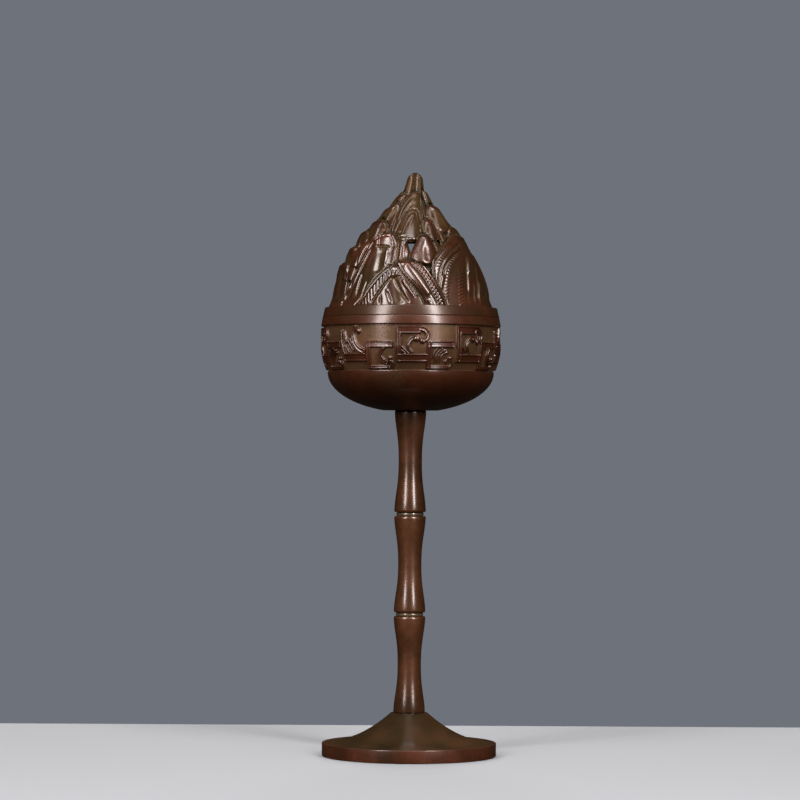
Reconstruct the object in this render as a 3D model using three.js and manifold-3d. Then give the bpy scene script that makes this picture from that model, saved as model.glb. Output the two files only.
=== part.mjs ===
// A hill censer in bronze: a trumpet foot, a bamboo stem in three segments, a bowl with a band of dragon
// meanders, and a pierced lid of mountain peaks. Millimetres, +Z up, origin under the middle of the foot.
// The front looks along -Y.
import * as THREE from 'three';
import { mergeVertices } from 'three/addons/utils/BufferGeometryUtils.js';
import Module from 'manifold-3d';

const wasm = await Module();
wasm.setup();
const { degToRad: radians, lerp, clamp, smoothstep } = THREE.MathUtils;

// Foot
const footRadius = 38.1;
const footEdgeHeight = 5.7;
const footHeight = 18.8;
const footNeckRadius = 8;
const footWall = 3.2;
const footRestWidth = 7;
const footBossRadius = 9.5;
const footBossHeight = 8.6;
const footChamfer = 0.5;

// Stem
const segmentLengths = { stem_lower: 42.1, stem_middle: 42, stem_upper: 44.5 };
const segmentEndRadius = 7;
const segmentWaistRadius = 5.1;
const segmentEdge = 0.5;
const segmentFlarePower = 1.35;
const ringRadius = 6.1;
const ringHeight = 1.8;

// Tie rod and its fasteners
const rodRadius = 2.5;
const rodOverhang = 1.2;
const boreRadius = 2.9;
const nutAcrossFlats = 8;
const nutHeight = 4;
const nutClearance = 0.3;
const washerRadius = 5.2;
const washerThickness = 1;

// Bowl
const bowlBottomRadius = 36.4;
const bowlBottomDepth = 17.5;
const bowlFlat = 1;
const bandHeight = 20;
const bandRadius = 38.2;
const bandTuck = 2.6;
const bandTuckHeight = 11;
const bandTuckPower = 1.8;
const bandStep = 0.5;
const reliefHeight = 1.2;
const bowlRimHeight = 4;
const bowlRimRadius = 39.4;
const bowlRimTaper = 0.7;
const bowlFloor = 4;
const mouthRadius = 34.4;
const mouthDepth = 6;
const bowlHollowRadius = 34;
const bowlHollowDepth = 26;
const bowlHollowTop = 15.5;

// Ash pan
const panRadius = 24.5;
const panHeight = 23;
const panFootRadius = 18.5;
const panFootWidth = 3;
const panFootHeight = 7.2;
const panFloorRadius = 20;
const panWall = 1.9;

// Lid
const lidRimHeight = 4.3;
const lidRimRadius = 38.7;
const lidRimTaper = 1;
const lidRimStep = 0.4;
const lipDepth = 4.5;
const lipClearance = 0.4;
const lipWall = 2.4;
const mountainHeight = 59.4;
const mountainRadius = 36.4;
const ogivePower = 1.35;
const valleyDepth = 3.6;
const shellTopRadius = 0.8;
const lidWall = 2.2;
const hollowTop = 44;
const tipHalfWidth = 0.9;
const noseDepth = 1.4;
const noseLength = 1.8;
const leanLength = 9;
const crownLength = 3;
const flareHeight = 5;
const edgeRounding = 0.8;
const footSink = 1;
const rootDepth = 1;
const leastRoot = 0.5;
const leastRelief = 0.3;
const ribRoot = 0.8;
const ribTopShare = 0.55;
const ribEndShare = 0.4;
const spireFoot = 41.6;
const spireTipRadius = 2.9;
const spireFlare = 0.21;
const spireDome = 2.8;
const spireFlutes = 8;
const leastDomeShare = 0.22;
const fluteShare = 0.87;
const spireLean = 1.5;
const leanStart = 0.7;
const leanEnd = 0.98;
const holeTaper = 0.2;

// Fineness, and how far a cutting solid runs past what it cuts
const bowlSides = 36;
const stemSides = 18;
const hiddenSides = 24;
const fastenerSides = 14;
const ribSteps = 3;
const columnWidth = 7;
const overcut = 1;

// Heights of the joints between the pieces, from the table up
const lowerTop = footHeight + segmentLengths.stem_lower;
const middleBottom = lowerTop + ringHeight;
const middleTop = middleBottom + segmentLengths.stem_middle;
const upperBottom = middleTop + ringHeight;
const bowlBase = upperBottom + segmentLengths.stem_upper;
const bandBottom = bowlBase + bowlBottomDepth - bowlFlat;
const bandTop = bandBottom + bandHeight;
const seam = bandTop + bowlRimHeight;
const mountainBase = seam + lidRimHeight;
const bowlFloorTop = bowlBase + bowlFloor;

// Geometry to solid and back. Doubled points of a seam or a pole are welded, and faces are turned out.
function solid(geometry) {
  const bare = geometry.clone();
  for (const name of Object.keys(bare.attributes)) {
    if (name !== 'position') bare.deleteAttribute(name);
  }
  const welded = mergeVertices(bare, 1e-4);
  const places = welded.attributes.position;
  const corners = [];
  for (let i = 0; i < welded.index.count; i += 3) {
    const [a, b, c] = [0, 1, 2].map((k) => welded.index.getX(i + k));
    if (a !== b && b !== c && c !== a) corners.push(a, b, c);
  }
  if (signedVolume(places, corners) < 0) corners.reverse();
  const vertProperties = new Float32Array(places.array);
  return new wasm.Manifold(new wasm.Mesh({ numProp: 3, vertProperties, triVerts: new Uint32Array(corners) }));
}

function signedVolume(places, corners) {
  const [a, b, c] = [new THREE.Vector3(), new THREE.Vector3(), new THREE.Vector3()];
  let sum = 0;
  for (let i = 0; i < corners.length; i += 3) {
    a.fromBufferAttribute(places, corners[i]);
    b.fromBufferAttribute(places, corners[i + 1]);
    c.fromBufferAttribute(places, corners[i + 2]);
    sum += a.dot(b.cross(c));
  }
  return sum;
}

function toGeometry(body) {
  const mesh = body.getMesh();
  const geometry = new THREE.BufferGeometry();
  geometry.setAttribute('position', new THREE.BufferAttribute(new Float32Array(mesh.vertProperties), 3));
  geometry.setIndex(new THREE.BufferAttribute(new Uint32Array(mesh.triVerts), 1));
  return geometry;
}

// A turned solid from a closed profile of [radius, height] points, or one that starts and ends on the axis
function turned(profile, sides = bowlSides) {
  const points = profile.map(([radius, height]) => new THREE.Vector2(radius, height));
  return solid(new THREE.LatheGeometry(points, sides).rotateX(Math.PI / 2));
}

function ringProfile(inner, outer, bottom, top) {
  return [[inner, bottom], [outer, bottom], [outer, top], [inner, top], [inner, bottom]];
}

// A solid skinned over rings of equally many points, with a fan over each end
function lofted(rings) {
  const count = rings[0].length;
  const places = rings.flat().flatMap((p) => [p.x, p.y, p.z]);
  const corners = [];
  for (let k = 0; k + 1 < rings.length; k += 1) {
    for (let i = 0; i < count; i += 1) {
      const [a, b] = [k * count + i, k * count + ((i + 1) % count)];
      corners.push(a, b, a + count, b, b + count, a + count);
    }
  }
  for (const [ring, flipped] of [[0, true], [rings.length - 1, false]]) {
    const middle = places.length / 3;
    const centre = new THREE.Vector3();
    rings[ring].forEach((p) => centre.addScaledVector(p, 1 / count));
    places.push(centre.x, centre.y, centre.z);
    for (let i = 0; i < count; i += 1) {
      const [a, b] = [ring * count + i, ring * count + ((i + 1) % count)];
      corners.push(...(flipped ? [b, a, middle] : [a, b, middle]));
    }
  }
  const geometry = new THREE.BufferGeometry();
  geometry.setAttribute('position', new THREE.Float32BufferAttribute(places, 3));
  geometry.setIndex(corners);
  return solid(geometry);
}

// Azimuth 0 is the front, and grows towards +X
function around(radius, azimuth, z) {
  return new THREE.Vector3(radius * Math.sin(azimuth), -radius * Math.cos(azimuth), z);
}

function steps(count) {
  return Array.from({ length: count + 1 }, (_, k) => k / count);
}

// Foot: the disc's top sweeps up to the stem as a parabola, and the hollow below follows it
function footTop(radius) {
  const share = (footRadius - footChamfer - radius) / (footRadius - footChamfer - footNeckRadius);
  return footEdgeHeight + (footHeight - footEdgeHeight) * share ** 2;
}

function foot() {
  const rimInner = footRadius - footRestWidth;
  const sweep = steps(5).map((t) => {
    const radius = lerp(footRadius - footChamfer, footNeckRadius, t);
    return [radius, footTop(radius)];
  });
  const bossOuter = footBossRadius + footChamfer;
  const hollow = steps(2).map((t) => {
    const radius = lerp(bossOuter, rimInner - footChamfer, t);
    return [radius, footTop(radius) - footWall];
  });
  return turned([
    [rimInner, 0],
    [footRadius - footChamfer, 0],
    [footRadius, footChamfer],
    [footRadius, footEdgeHeight - footChamfer],
    ...sweep,
    [boreRadius, footHeight],
    [boreRadius, footBossHeight],
    [footBossRadius, footBossHeight],
    ...hollow,
    [rimInner, 0],
  ]);
}

// Stem: each segment flares from a waist to its two nodes
function segment(bottom, length) {
  const flare = steps(6).map((t) => {
    const away = Math.abs(2 * t - 1) ** segmentFlarePower;
    const radius = lerp(segmentWaistRadius, segmentEndRadius, away * away * (3 - 2 * away));
    return [radius, bottom + segmentEdge + t * (length - 2 * segmentEdge)];
  });
  return turned([
    [boreRadius, bottom],
    [segmentEndRadius - segmentEdge, bottom],
    ...flare,
    [segmentEndRadius - segmentEdge, bottom + length],
    [boreRadius, bottom + length],
    [boreRadius, bottom],
  ], stemSides);
}

function stemRing(bottom) {
  return turned(ringProfile(boreRadius, ringRadius, bottom, bottom + ringHeight), stemSides);
}

// Tie rod, nuts and washers
const rodBottom = footBossHeight - washerThickness - nutHeight - rodOverhang;
const rodTop = bowlFloorTop + washerThickness + nutHeight + rodOverhang;

function tieRod() {
  return turned([[0, rodBottom], [rodRadius, rodBottom], [rodRadius, rodTop], [0, rodTop]], fastenerSides);
}

function washer(bottom) {
  return turned(ringProfile(boreRadius, washerRadius, bottom, bottom + washerThickness), fastenerSides);
}

function nut(bottom) {
  const outline = new THREE.Shape();
  const corner = nutAcrossFlats / 2 / Math.cos(Math.PI / 6);
  for (let k = 0; k < 6; k += 1) {
    const angle = (k * Math.PI) / 3;
    outline[k ? 'lineTo' : 'moveTo'](corner * Math.cos(angle), corner * Math.sin(angle));
  }
  outline.closePath();
  const bar = new THREE.ExtrudeGeometry(outline, { depth: nutHeight, bevelEnabled: false });
  const hole = rodRadius + nutClearance;
  const [from, to] = [bottom - overcut, bottom + nutHeight + overcut];
  const drill = turned([[0, from], [hole, from], [hole, to], [0, to]], fastenerSides);
  return solid(bar.translate(0, 0, bottom)).subtract(drill);
}

// Bowl: a flattened half ellipse below, the sunk ground of the band, and a rim that overhangs it
function bandGround(z) {
  const below = Math.max(0, bandBottom + bandTuckHeight - z) / bandTuckHeight;
  return bandRadius - bandTuck * below ** bandTuckPower;
}

function bowlBody() {
  const start = Math.acos((bowlBottomDepth - bowlFlat) / bowlBottomDepth);
  const bottom = steps(6).map((t) => {
    const angle = lerp(start, Math.PI / 2, t);
    return [bowlBottomRadius * Math.sin(angle), bandBottom - bowlBottomDepth * Math.cos(angle)];
  });
  const ground = steps(2).map((t) => {
    const z = lerp(bandBottom + bandStep, bandTop, t);
    return [bandGround(z), z];
  });
  const hollowCentre = seam - bowlHollowTop;
  const end = Math.acos(Math.min(1, (hollowCentre - bowlFloorTop) / bowlHollowDepth));
  const hollow = steps(5).map((t) => {
    const angle = lerp(Math.PI / 2, end, t);
    return [bowlHollowRadius * Math.sin(angle), hollowCentre - bowlHollowDepth * Math.cos(angle)];
  });
  return turned([
    [boreRadius, bowlBase],
    ...bottom,
    ...ground,
    [bowlRimRadius, bandTop + bandStep],
    [bowlRimRadius - bowlRimTaper, seam - bandStep],
    [bowlRimRadius - bowlRimTaper - bandStep, seam],
    [mouthRadius, seam],
    [mouthRadius, seam - mouthDepth],
    ...hollow,
    [boreRadius, bowlFloorTop],
    [boreRadius, bowlBase],
  ]);
}

// The band's two motifs, drawn flat: x runs round the bowl from the motif's middle, y is height on the band.
// Their turns are degrees from an even spacing.
const motifRepeats = 9;
const upperTurn = 1.5;
const motifWidth = 14.4;
const barWidth = 2.2;
const motifTop = 19.4;
const motifBottom = 3.3;
const topBarHeight = 3.5;
const blockHeight = 3.4;
const blockInset = 1;
const hookRadius = 2.9;
const hookWidth = 2.1;
const lowerTurn = -0.5;
const lowerWidth = 12.5;
const lowerTopEdge = 13;
const lowerBottomEdge = 0.5;
const lowerTopBar = 3;
const lowerFootBar = 1.5;
const lowerHookRadius = 2.2;
const curlRadius = 3.5;
const curlWidth = 1.7;
const beadRadius = 1.2;
const upperCurl = { x: 1.3, belowTop: 8.7, from: 100, to: 240 };
const lowerCurl = { x: 3.6, belowTop: 6.2, from: 240, to: 95 };
const reliefRoot = 0.8;

function outline(points) {
  const shape = new THREE.Shape();
  points.forEach(([x, y], k) => shape[k ? 'lineTo' : 'moveTo'](x, y));
  shape.closePath();
  return shape;
}

// Points along an arc, from one angle to another in degrees
function arc(x, y, radius, from, to, count) {
  return steps(count).map((t) => {
    const angle = radians(lerp(from, to, t));
    return [x + radius * Math.cos(angle), y + radius * Math.sin(angle)];
  });
}

// A curl: a bar bent round an arc that ends in a bead
function curl({ x, belowTop, from, to }, top) {
  const y = top - belowTop;
  const outer = arc(x, y, curlRadius + curlWidth / 2, from, to, 3);
  const inner = arc(x, y, curlRadius - curlWidth / 2, to, from, 3);
  const [beadX, beadY] = arc(x, y, curlRadius, from, from, 1)[0];
  const head = arc(beadX, beadY, beadRadius, from + 180, to > from ? from + 360 : from, 3);
  return outline([...head, ...outer, ...inner]);
}

// The upper motif hangs from the rim: a bar on its left and top, a hook at its right and a block below
function upperMotif() {
  const [left, right] = [-motifWidth / 2, motifWidth / 2];
  const hookX = right - hookRadius - hookWidth / 2;
  const hookY = motifTop - hookRadius - hookWidth / 2;
  const frame = [
    [left, motifBottom],
    [0, motifBottom],
    [right - blockInset, motifBottom],
    [right - blockInset, motifBottom + blockHeight],
    [0, motifBottom + blockHeight],
    [left + barWidth, motifBottom + blockHeight],
    [left + barWidth, motifTop - topBarHeight],
    [0, motifTop - topBarHeight],
    ...arc(hookX, hookY, hookRadius - hookWidth / 2, 60, -70, 2),
    ...arc(hookX, hookY, hookRadius + hookWidth / 2, -60, 90, 3),
    [0, motifTop],
    [left, motifTop],
  ];
  return [outline(frame), curl(upperCurl, motifTop)];
}

// The lower motif is a square hook: a heavy top bar, a left bar and a thin foot that turns up at its right
function lowerMotif() {
  const [left, right] = [-lowerWidth / 2, lowerWidth / 2];
  const turnX = right - lowerHookRadius;
  const turnY = lowerBottomEdge + lowerHookRadius;
  const frame = [
    [left, lowerBottomEdge],
    [0, lowerBottomEdge],
    ...arc(turnX, turnY, lowerHookRadius, -90, 80, 3),
    ...arc(turnX, turnY, lowerHookRadius - lowerFootBar, 60, -90, 2),
    [0, lowerBottomEdge + lowerFootBar],
    [left + barWidth, lowerBottomEdge + lowerFootBar],
    [left + barWidth, lowerTopEdge - lowerTopBar],
    [0, lowerTopEdge - lowerTopBar],
    [right, lowerTopEdge - lowerTopBar],
    [right, lowerTopEdge],
    [0, lowerTopEdge],
    [left, lowerTopEdge],
  ];
  return [outline(frame), curl(lowerCurl, lowerTopEdge)];
}

// Bends a flat outline round the band and gives it its height above the ground
function relief(shape, azimuth) {
  const depth = reliefHeight + reliefRoot;
  const plate = new THREE.ExtrudeGeometry(shape, { depth, bevelEnabled: false });
  const places = plate.attributes.position;
  for (let i = 0; i < places.count; i += 1) {
    const z = bandBottom + places.getY(i);
    const radius = bandGround(z) - reliefRoot + places.getZ(i);
    const p = around(radius, azimuth + places.getX(i) / bandRadius, z);
    places.setXYZ(i, p.x, p.y, p.z);
  }
  return solid(plate);
}

function bowl() {
  const pitch = (2 * Math.PI) / motifRepeats;
  const pieces = [bowlBody()];
  for (let k = 0; k < motifRepeats; k += 1) {
    const [upper, lower] = [k * pitch + radians(upperTurn), (k + 0.5) * pitch + radians(lowerTurn)];
    pieces.push(...upperMotif().map((shape) => relief(shape, upper)));
    pieces.push(...lowerMotif().map((shape) => relief(shape, lower)));
  }
  return wasm.Manifold.union(pieces);
}

// Ash pan: a thin dish on a foot ring that stands on the bowl's floor, round the nut
function ashPan() {
  const under = bowlFloorTop + panFootHeight;
  const rim = bowlFloorTop + panHeight;
  const shoulder = steps(4).map((t) => {
    const angle = (t * Math.PI) / 2;
    return [Math.sin(angle), 1 - Math.cos(angle)];
  });
  const outer = shoulder.map(([u, v]) => [
    panFloorRadius + (panRadius - panFloorRadius) * u, under + (rim - under) * v]);
  const inner = shoulder.map(([u, v]) => [
    panFloorRadius - panWall + (panRadius - panFloorRadius) * u,
    under + panWall + (rim - under - panWall) * v]).reverse();
  return turned([
    [0, under],
    [panFootRadius - panFootWidth, under],
    [panFootRadius - panFootWidth, bowlFloorTop],
    [panFootRadius, bowlFloorTop],
    [panFootRadius, under],
    ...outer,
    ...inner,
    [0, under + panWall],
  ], hiddenSides);
}

// Lid: the mountains fill an ogive. Each peak is a tongue on the thin shell, and peaks overlap in tiers.
// Heights on the lid are above the mountains' base.
function ogive(height) {
  const share = clamp(height / mountainHeight, 0, 1);
  return mountainRadius * (1 - share ** 2) ** ogivePower;
}

function valley(height) {
  return Math.max(shellTopRadius, ogive(height) - valleyDepth);
}

// A point on the lid. The spire and the peaks round it lean a little towards +X.
function onLid(radius, azimuth, height) {
  const point = around(radius, azimuth, mountainBase + height);
  point.x += spireLean * smoothstep(height / mountainHeight, leanStart, leanEnd);
  return point;
}

// Places are [degrees from the front, height]. A peak has a tip and two flanks that run down from it.
// back: how far its face stands behind the ogive at the tip. lean: how much further back it goes below.
// crown: how far its flanks fall away from its middle. belly: how far its lower edge hangs in the middle.
// reach: its largest radius. twin: degrees to its like at the back. ribs: [half width, rise, places...].
const peaks = [
  { tip: [76, 52], left: [[62, 48], [57, 43], [54, 36]], right: [[100, 48], [106, 42], [110, 36]],
    back: 0, lean: 2, crown: 0.9, twin: 180 },
  { tip: [-60, 50.5], left: [[-88, 48], [-96, 42], [-98, 36]], right: [[-40, 48.5], [-36, 44], [-34, 36]],
    back: 0.8, lean: 2, crown: 1.8, twin: 180 },
  { tip: [12, 51.5], left: [[-18, 49.5], [-30, 45.5], [-28, 41], [-26, 36.5], [-24, 31]],
    right: [[34, 50], [28, 47], [22, 43], [19, 39], [17, 31]], back: 1, lean: 0.8, crown: 1.3, twin: 180 },
  { tip: [-52, 46], left: [[-66, 44], [-84, 42], [-90, 38], [-92, 32]],
    right: [[-40, 44.5], [-35, 40], [-33, 32]], back: 1, lean: 1.8, crown: 2.6, twin: 180 },
  { tip: [62, 45], left: [[46, 43], [36, 39.5], [33, 33]], right: [[84, 43], [96, 38], [99, 31]],
    back: 0, lean: 1.6, crown: 2.6, twin: 180 },
  { tip: [28, 38.5], left: [[20, 37], [14, 33.5], [13, 29]], right: [[35, 37], [36, 34], [35, 29]],
    back: 1.8, lean: 0.8, crown: 1.6, belly: 0.6, twin: 180 },
  { tip: [4, 42], left: [[-3, 41], [-10, 38.8], [-14, 35], [-17, 31], [-16, 28.5]],
    right: [[9, 40.5], [11, 36.5], [12, 30], [9, 28]], back: 1.5, lean: 0, crown: 2, belly: 0.9, reach: 23.7,
    rounding: 2.6 },
  { tip: [185, 44], left: [[176, 43], [169, 40], [165, 34], [166, 30]],
    right: [[191, 43], [196, 36], [195, 30]], back: 1.4, lean: 0.4, crown: 2, belly: -0.5 },
  { tip: [-64, 38.5], left: [[-84, 37], [-96, 33], [-98, 26]], right: [[-46, 36.5], [-38, 34], [-36, 27]],
    back: 0.6, lean: 1.8, crown: 2.4, twin: 180 },
  { tip: [77, 36], left: [[62, 34.5], [54, 31], [51, 26]], right: [[95, 34], [102, 30], [104, 24]],
    back: 0.8, lean: 1, crown: 1.5, twin: 180 },
  { tip: [-80, 34], left: [[-94, 33], [-103, 29], [-105, 22]], right: [[-69, 33], [-63, 30], [-61, 22]],
    back: 0, lean: 2, crown: 1.8 },
  { tip: [-10, 29.5], left: [[-15, 28], [-20, 24], [-21, 14]],
    right: [[-5.5, 28.6], [-6.4, 26.8], [-3, 22.8], [-4, 14]], back: 1.8, lean: 0.6, crown: 0.8, twin: 174 },
  { tip: [-57, 28], left: [[-62, 27], [-66, 24], [-67, 17]], right: [[-53, 27], [-50, 24], [-51, 17]],
    back: 1.4, lean: 0.8, crown: 1.2, twin: 180 },
  { tip: [-67, 25], left: [[-72, 24], [-76, 19], [-77, 11]], right: [[-62, 24], [-57, 19], [-57, 11]],
    back: 1.2, lean: 0.8, crown: 1.4, twin: 180 },
  { tip: [-84, 27], left: [[-96, 25.5], [-104, 21], [-106, 12]], right: [[-74, 26], [-68, 22], [-66, 12]],
    back: 0, lean: 2, crown: 1.6 },
  { tip: [-27, 32], left: [[-38, 30.5], [-43, 28.5], [-48, 24], [-51, 14], [-54, 8], [-62, 0]],
    right: [[-21, 31], [-17, 28.5], [-15.5, 25], [-15, 18], [-8, 0]], back: 0.2, lean: 2, crown: 0.9, twin: 180,
    ribs: [[1.5, 0.7, [-33, 28.2], [-24, 28.4]], [0.75, 0.6, [-41, 26.5], [-43.5, 18], [-60, 1]],
      [2.1, 0.6, [-31, 23], [-28, 13]]] },
  { tip: [15, 31.2], left: [[9.5, 29.5], [6.2, 26.8], [1.2, 22.6], [0.5, 20]],
    right: [[20, 29.5], [23, 25.5], [24, 21], [23, 18.8]], back: 0.3, lean: 1.2, crown: 1.8, belly: 1.8,
    rounding: 1.6, twin: 187 },
  { tip: [68, 32], left: [[47, 28.5], [36, 26], [27, 22.5], [22, 20], [18.5, 16.5], [18, 11], [20, 0]],
    right: [[84, 29.5], [92, 21], [96, 10], [98, 0]], back: 0.3, lean: 1.2, crown: 1.2, twin: 180,
    ribs: [[0.6, 0.45, [52, 25.8], [34, 21.2], [23.5, 12.5]], [0.6, 0.55, [61, 22], [51, 14.5]],
      [0.9, 0.55, [27, 13], [22.5, 6.5]]] },
  { tip: [107, 25], left: [[96, 23], [92, 16], [90, 0]], right: [[116, 23], [122, 16], [126, 0]],
    back: 0.6, lean: 1, crown: 1.2 },
  { tip: [-80, 19.8], left: [[-94, 18.5], [-102, 14], [-106, 6], [-108, 0]],
    right: [[-73, 19.5], [-66, 17], [-62, 10], [-60, 0]], back: 0, lean: 1.8, crown: 1.2,
    ribs: [[0.7, 0.5, [-76, 17], [-68, 3]]] },
  { tip: [-12, 17.8], left: [[-17, 16], [-25.5, 11.6], [-30, 8.3], [-34, 4.6], [-40, 0]],
    right: [[-8, 17], [4, 8], [10, 0]], back: 0, lean: 0.4, crown: 0.5, twin: 180,
    ribs: [[0.8, 0.7, [-5, 10.5], [2, 4]]] },
  { tip: [-5, 19.8], left: [[-9.5, 18], [-5, 14.2], [0, 10.8], [9.5, 4.5], [12, 0]],
    right: [[-1, 19], [9, 17.2], [14, 13], [18, 8.5], [22, 4], [23.5, 0]], back: 0, lean: 0.2, crown: 0.4,
    proud: 0.5, twin: 180,
    ribs: [[1.25, 0.7, [-7.5, 17.8], [1.5, 11.8], [11, 5.5]], [1.2, 0.5, [9.5, 16.5], [21, 1]]] },
];

// Azimuth of a flank at a height, in radians. It opens from the tip as an arch does.
function flank(peak, side, height) {
  const points = [peak.tip, ...peak[side]];
  const drop = (level) => Math.sqrt(Math.max(0, peak.tip[1] - level));
  const below = points.findIndex(([, level]) => level <= height);
  const k = below < 0 ? points.length - 1 : Math.max(1, below);
  const [from, to] = [points[k - 1], points[k]];
  const share = (drop(height) - drop(from[1])) / (drop(to[1]) - drop(from[1]));
  return radians(lerp(from[0], to[0], clamp(share, 0, 1)));
}

function lowestPlace(peak, side) {
  return peak[side][peak[side].length - 1][1];
}

function standsOnBase(peak) {
  return lowestPlace(peak, 'left') === 0;
}

// Height of a peak's lower edge. place goes from -1 at its left flank to 1 at its right.
function lowerEdge(peak, place) {
  if (standsOnBase(peak)) return -footSink;
  const straight = lerp(lowestPlace(peak, 'left'), lowestPlace(peak, 'right'), (place + 1) / 2);
  return straight - (peak.belly ?? 0) * (1 - place ** 2);
}

function faceRadius(peak, height) {
  const below = peak.tip[1] - height;
  const flare = standsOnBase(peak) ? smoothstep(height, -footSink, flareHeight) : 1;
  const back = (peak.back + peak.lean * smoothstep(below, 0, leanLength)) * flare;
  const nose = noseDepth * Math.max(0, 1 - below / noseLength) ** 2;
  const proud = (peak.proud ?? 0) * smoothstep(below, 0, noseLength);
  return Math.min(ogive(height) - back - nose, peak.reach ?? mountainRadius) + proud;
}

// A peak's edges at a height, in radians
function edges(peak, height) {
  const tip = tipHalfWidth / faceRadius(peak, height);
  return [flank(peak, 'left', height) - tip, flank(peak, 'right', height) + tip];
}

// Radius of a peak's surface: its face, less its crown and the rounding of its lower edge
function surfaceRadius(peak, place, height) {
  const crown = peak.crown * place ** 2 * smoothstep(peak.tip[1] - height, -1, crownLength);
  const rounding = peak.rounding ?? edgeRounding;
  const rise = clamp((height - lowerEdge(peak, place)) / rounding, 0, 1);
  const under = standsOnBase(peak) ? 0 : rounding * (1 - Math.sqrt(1 - (1 - rise) ** 2));
  return faceRadius(peak, height) - crown - under;
}

function peakPoint(peak, place, share, inside) {
  const height = lerp(peak.tip[1], lowerEdge(peak, place), share);
  const azimuth = lerp(...edges(peak, height), (place + 1) / 2);
  const middleOfWall = Math.max(leastRoot, valley(height) - lidWall / 2);
  const root = Math.min(middleOfWall, faceRadius(peak, height) - rootDepth);
  const surface = Math.max(root + leastRelief, surfaceRadius(peak, place, height));
  return onLid(inside ? root : surface, azimuth, height);
}

function peakSolid(peak) {
  const count = standsOnBase(peak) ? 6 : 4;
  const shares = steps(count).map((t) => t ** 2);
  if (peak.rounding) shares.splice(count, 0, 0.9);
  const middle = (peak.tip[1] + lowerEdge(peak, 0)) / 2;
  const [left, right] = edges(peak, middle);
  const columns = Math.round(((right - left) * faceRadius(peak, middle)) / columnWidth);
  const across = steps(clamp(columns, 2, 6)).map((t) => 2 * t - 1);
  return lofted(shares.map((share) => [
    peakPoint(peak, -1, share, true),
    ...across.map((place) => peakPoint(peak, place, share, false)),
    peakPoint(peak, 1, share, true),
  ]));
}

// A raised rib that runs over a peak's face through its places
function ribSolid(peak, [halfWidth, rise, ...places]) {
  const points = places.map(([degrees, height]) => new THREE.Vector3(degrees, height, 0));
  const line = new THREE.CatmullRomCurve3(points);
  return lofted(steps(ribSteps).map((t) => {
    const { x: degrees, y: height } = line.getPoint(t);
    const tangent = line.getTangent(t);
    const [left, right] = edges(peak, height);
    const place = clamp((2 * radians(degrees) - left - right) / (right - left), -1, 1);
    const radius = surfaceRadius(peak, place, height);
    const run = radians(tangent.x) * radius;
    const length = Math.hypot(run, tangent.y);
    const width = halfWidth * (t === 0 || t === 1 ? ribEndShare : 1);
    const section = [[-1, -ribRoot], [-ribTopShare, rise], [ribTopShare, rise], [1, -ribRoot]];
    return section.map(([side, lift]) => {
      const away = side * width;
      const turn = radians(degrees) - ((tangent.y / length) * away) / radius;
      return onLid(radius + lift, turn, height + (run / length) * away);
    });
  }));
}

// A fluted spire that flares downwards and ends in a dome
function spire() {
  const points = spireFlutes * 2;
  const domeFoot = mountainHeight - spireDome;
  const heights = [spireFoot, (spireFoot + domeFoot) / 2, domeFoot, domeFoot + spireDome * 0.6, mountainHeight];
  return lofted(heights.map((height) => {
    const drop = mountainHeight - height;
    const dome = Math.sqrt(1 - Math.max(0, 1 - drop / spireDome) ** 2);
    const radius = (spireTipRadius + spireFlare * drop) * Math.max(leastDomeShare, dome);
    return steps(points).slice(1).map((turn, k) => {
      const flute = k % 2 ? 1 : fluteShare;
      return onLid(radius * flute, 2 * Math.PI * turn, height);
    });
  }));
}

// Smoke holes through the shell, in the valleys: azimuth in degrees, height of the middle, width and height
const holes = [
  { azimuth: 0, middle: 25, width: 6, height: 6 },
  { azimuth: 180, middle: 26.8, width: 8, height: 5.6 },
  { azimuth: 14, middle: 36, width: 2.4, height: 3 },
  { azimuth: 33, middle: 27, width: 3, height: 4 },
  { azimuth: -43, middle: 33, width: 3, height: 4 },
  { azimuth: 26, middle: 22, width: 2.4, height: 3 },
];

function smokeHole({ azimuth, middle, width, height }) {
  const [side, narrow, top] = [width / 2, (width / 2) * holeTaper, height / 2];
  const shape = outline([[-side, top], [side, top], [narrow, -top], [-narrow, -top]]);
  const plug = new THREE.ExtrudeGeometry(shape, { depth: mountainRadius, bevelEnabled: false });
  plug.rotateX(Math.PI / 2);
  plug.rotateZ(radians(azimuth));
  return solid(plug.translate(0, 0, mountainBase + middle));
}

function lidCore() {
  const shell = steps(6).slice(0, -1).map((t) => {
    const height = t * mountainHeight;
    return [valley(height), mountainBase + height];
  });
  const lip = mouthRadius - lipClearance;
  return turned([
    [0, seam - lipDepth],
    [lip, seam - lipDepth],
    [lip, seam],
    [lidRimRadius, seam],
    [lidRimRadius - lidRimTaper, mountainBase - lidRimStep],
    [mountainRadius + lidRimStep, mountainBase],
    ...shell,
    [0, mountainBase + mountainHeight - spireDome],
  ]);
}

function lidHollow() {
  const lip = mouthRadius - lipClearance - lipWall;
  const rise = steps(6).map((t) => {
    const height = t * hollowTop;
    return [Math.min(lip, valley(height) - lidWall), mountainBase + height];
  });
  return turned([
    [0, seam - lipDepth - overcut],
    [lip, seam - lipDepth - overcut],
    [lip, seam],
    ...rise,
    [0, mountainBase + hollowTop],
  ], hiddenSides);
}

function turnedPeak(peak, turn) {
  const move = ([degrees, height]) => [degrees + turn, height];
  const ribs = (peak.ribs ?? []).map(([halfWidth, rise, ...places]) => [halfWidth, rise, ...places.map(move)]);
  return { ...peak, tip: move(peak.tip), left: peak.left.map(move), right: peak.right.map(move), ribs };
}

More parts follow.
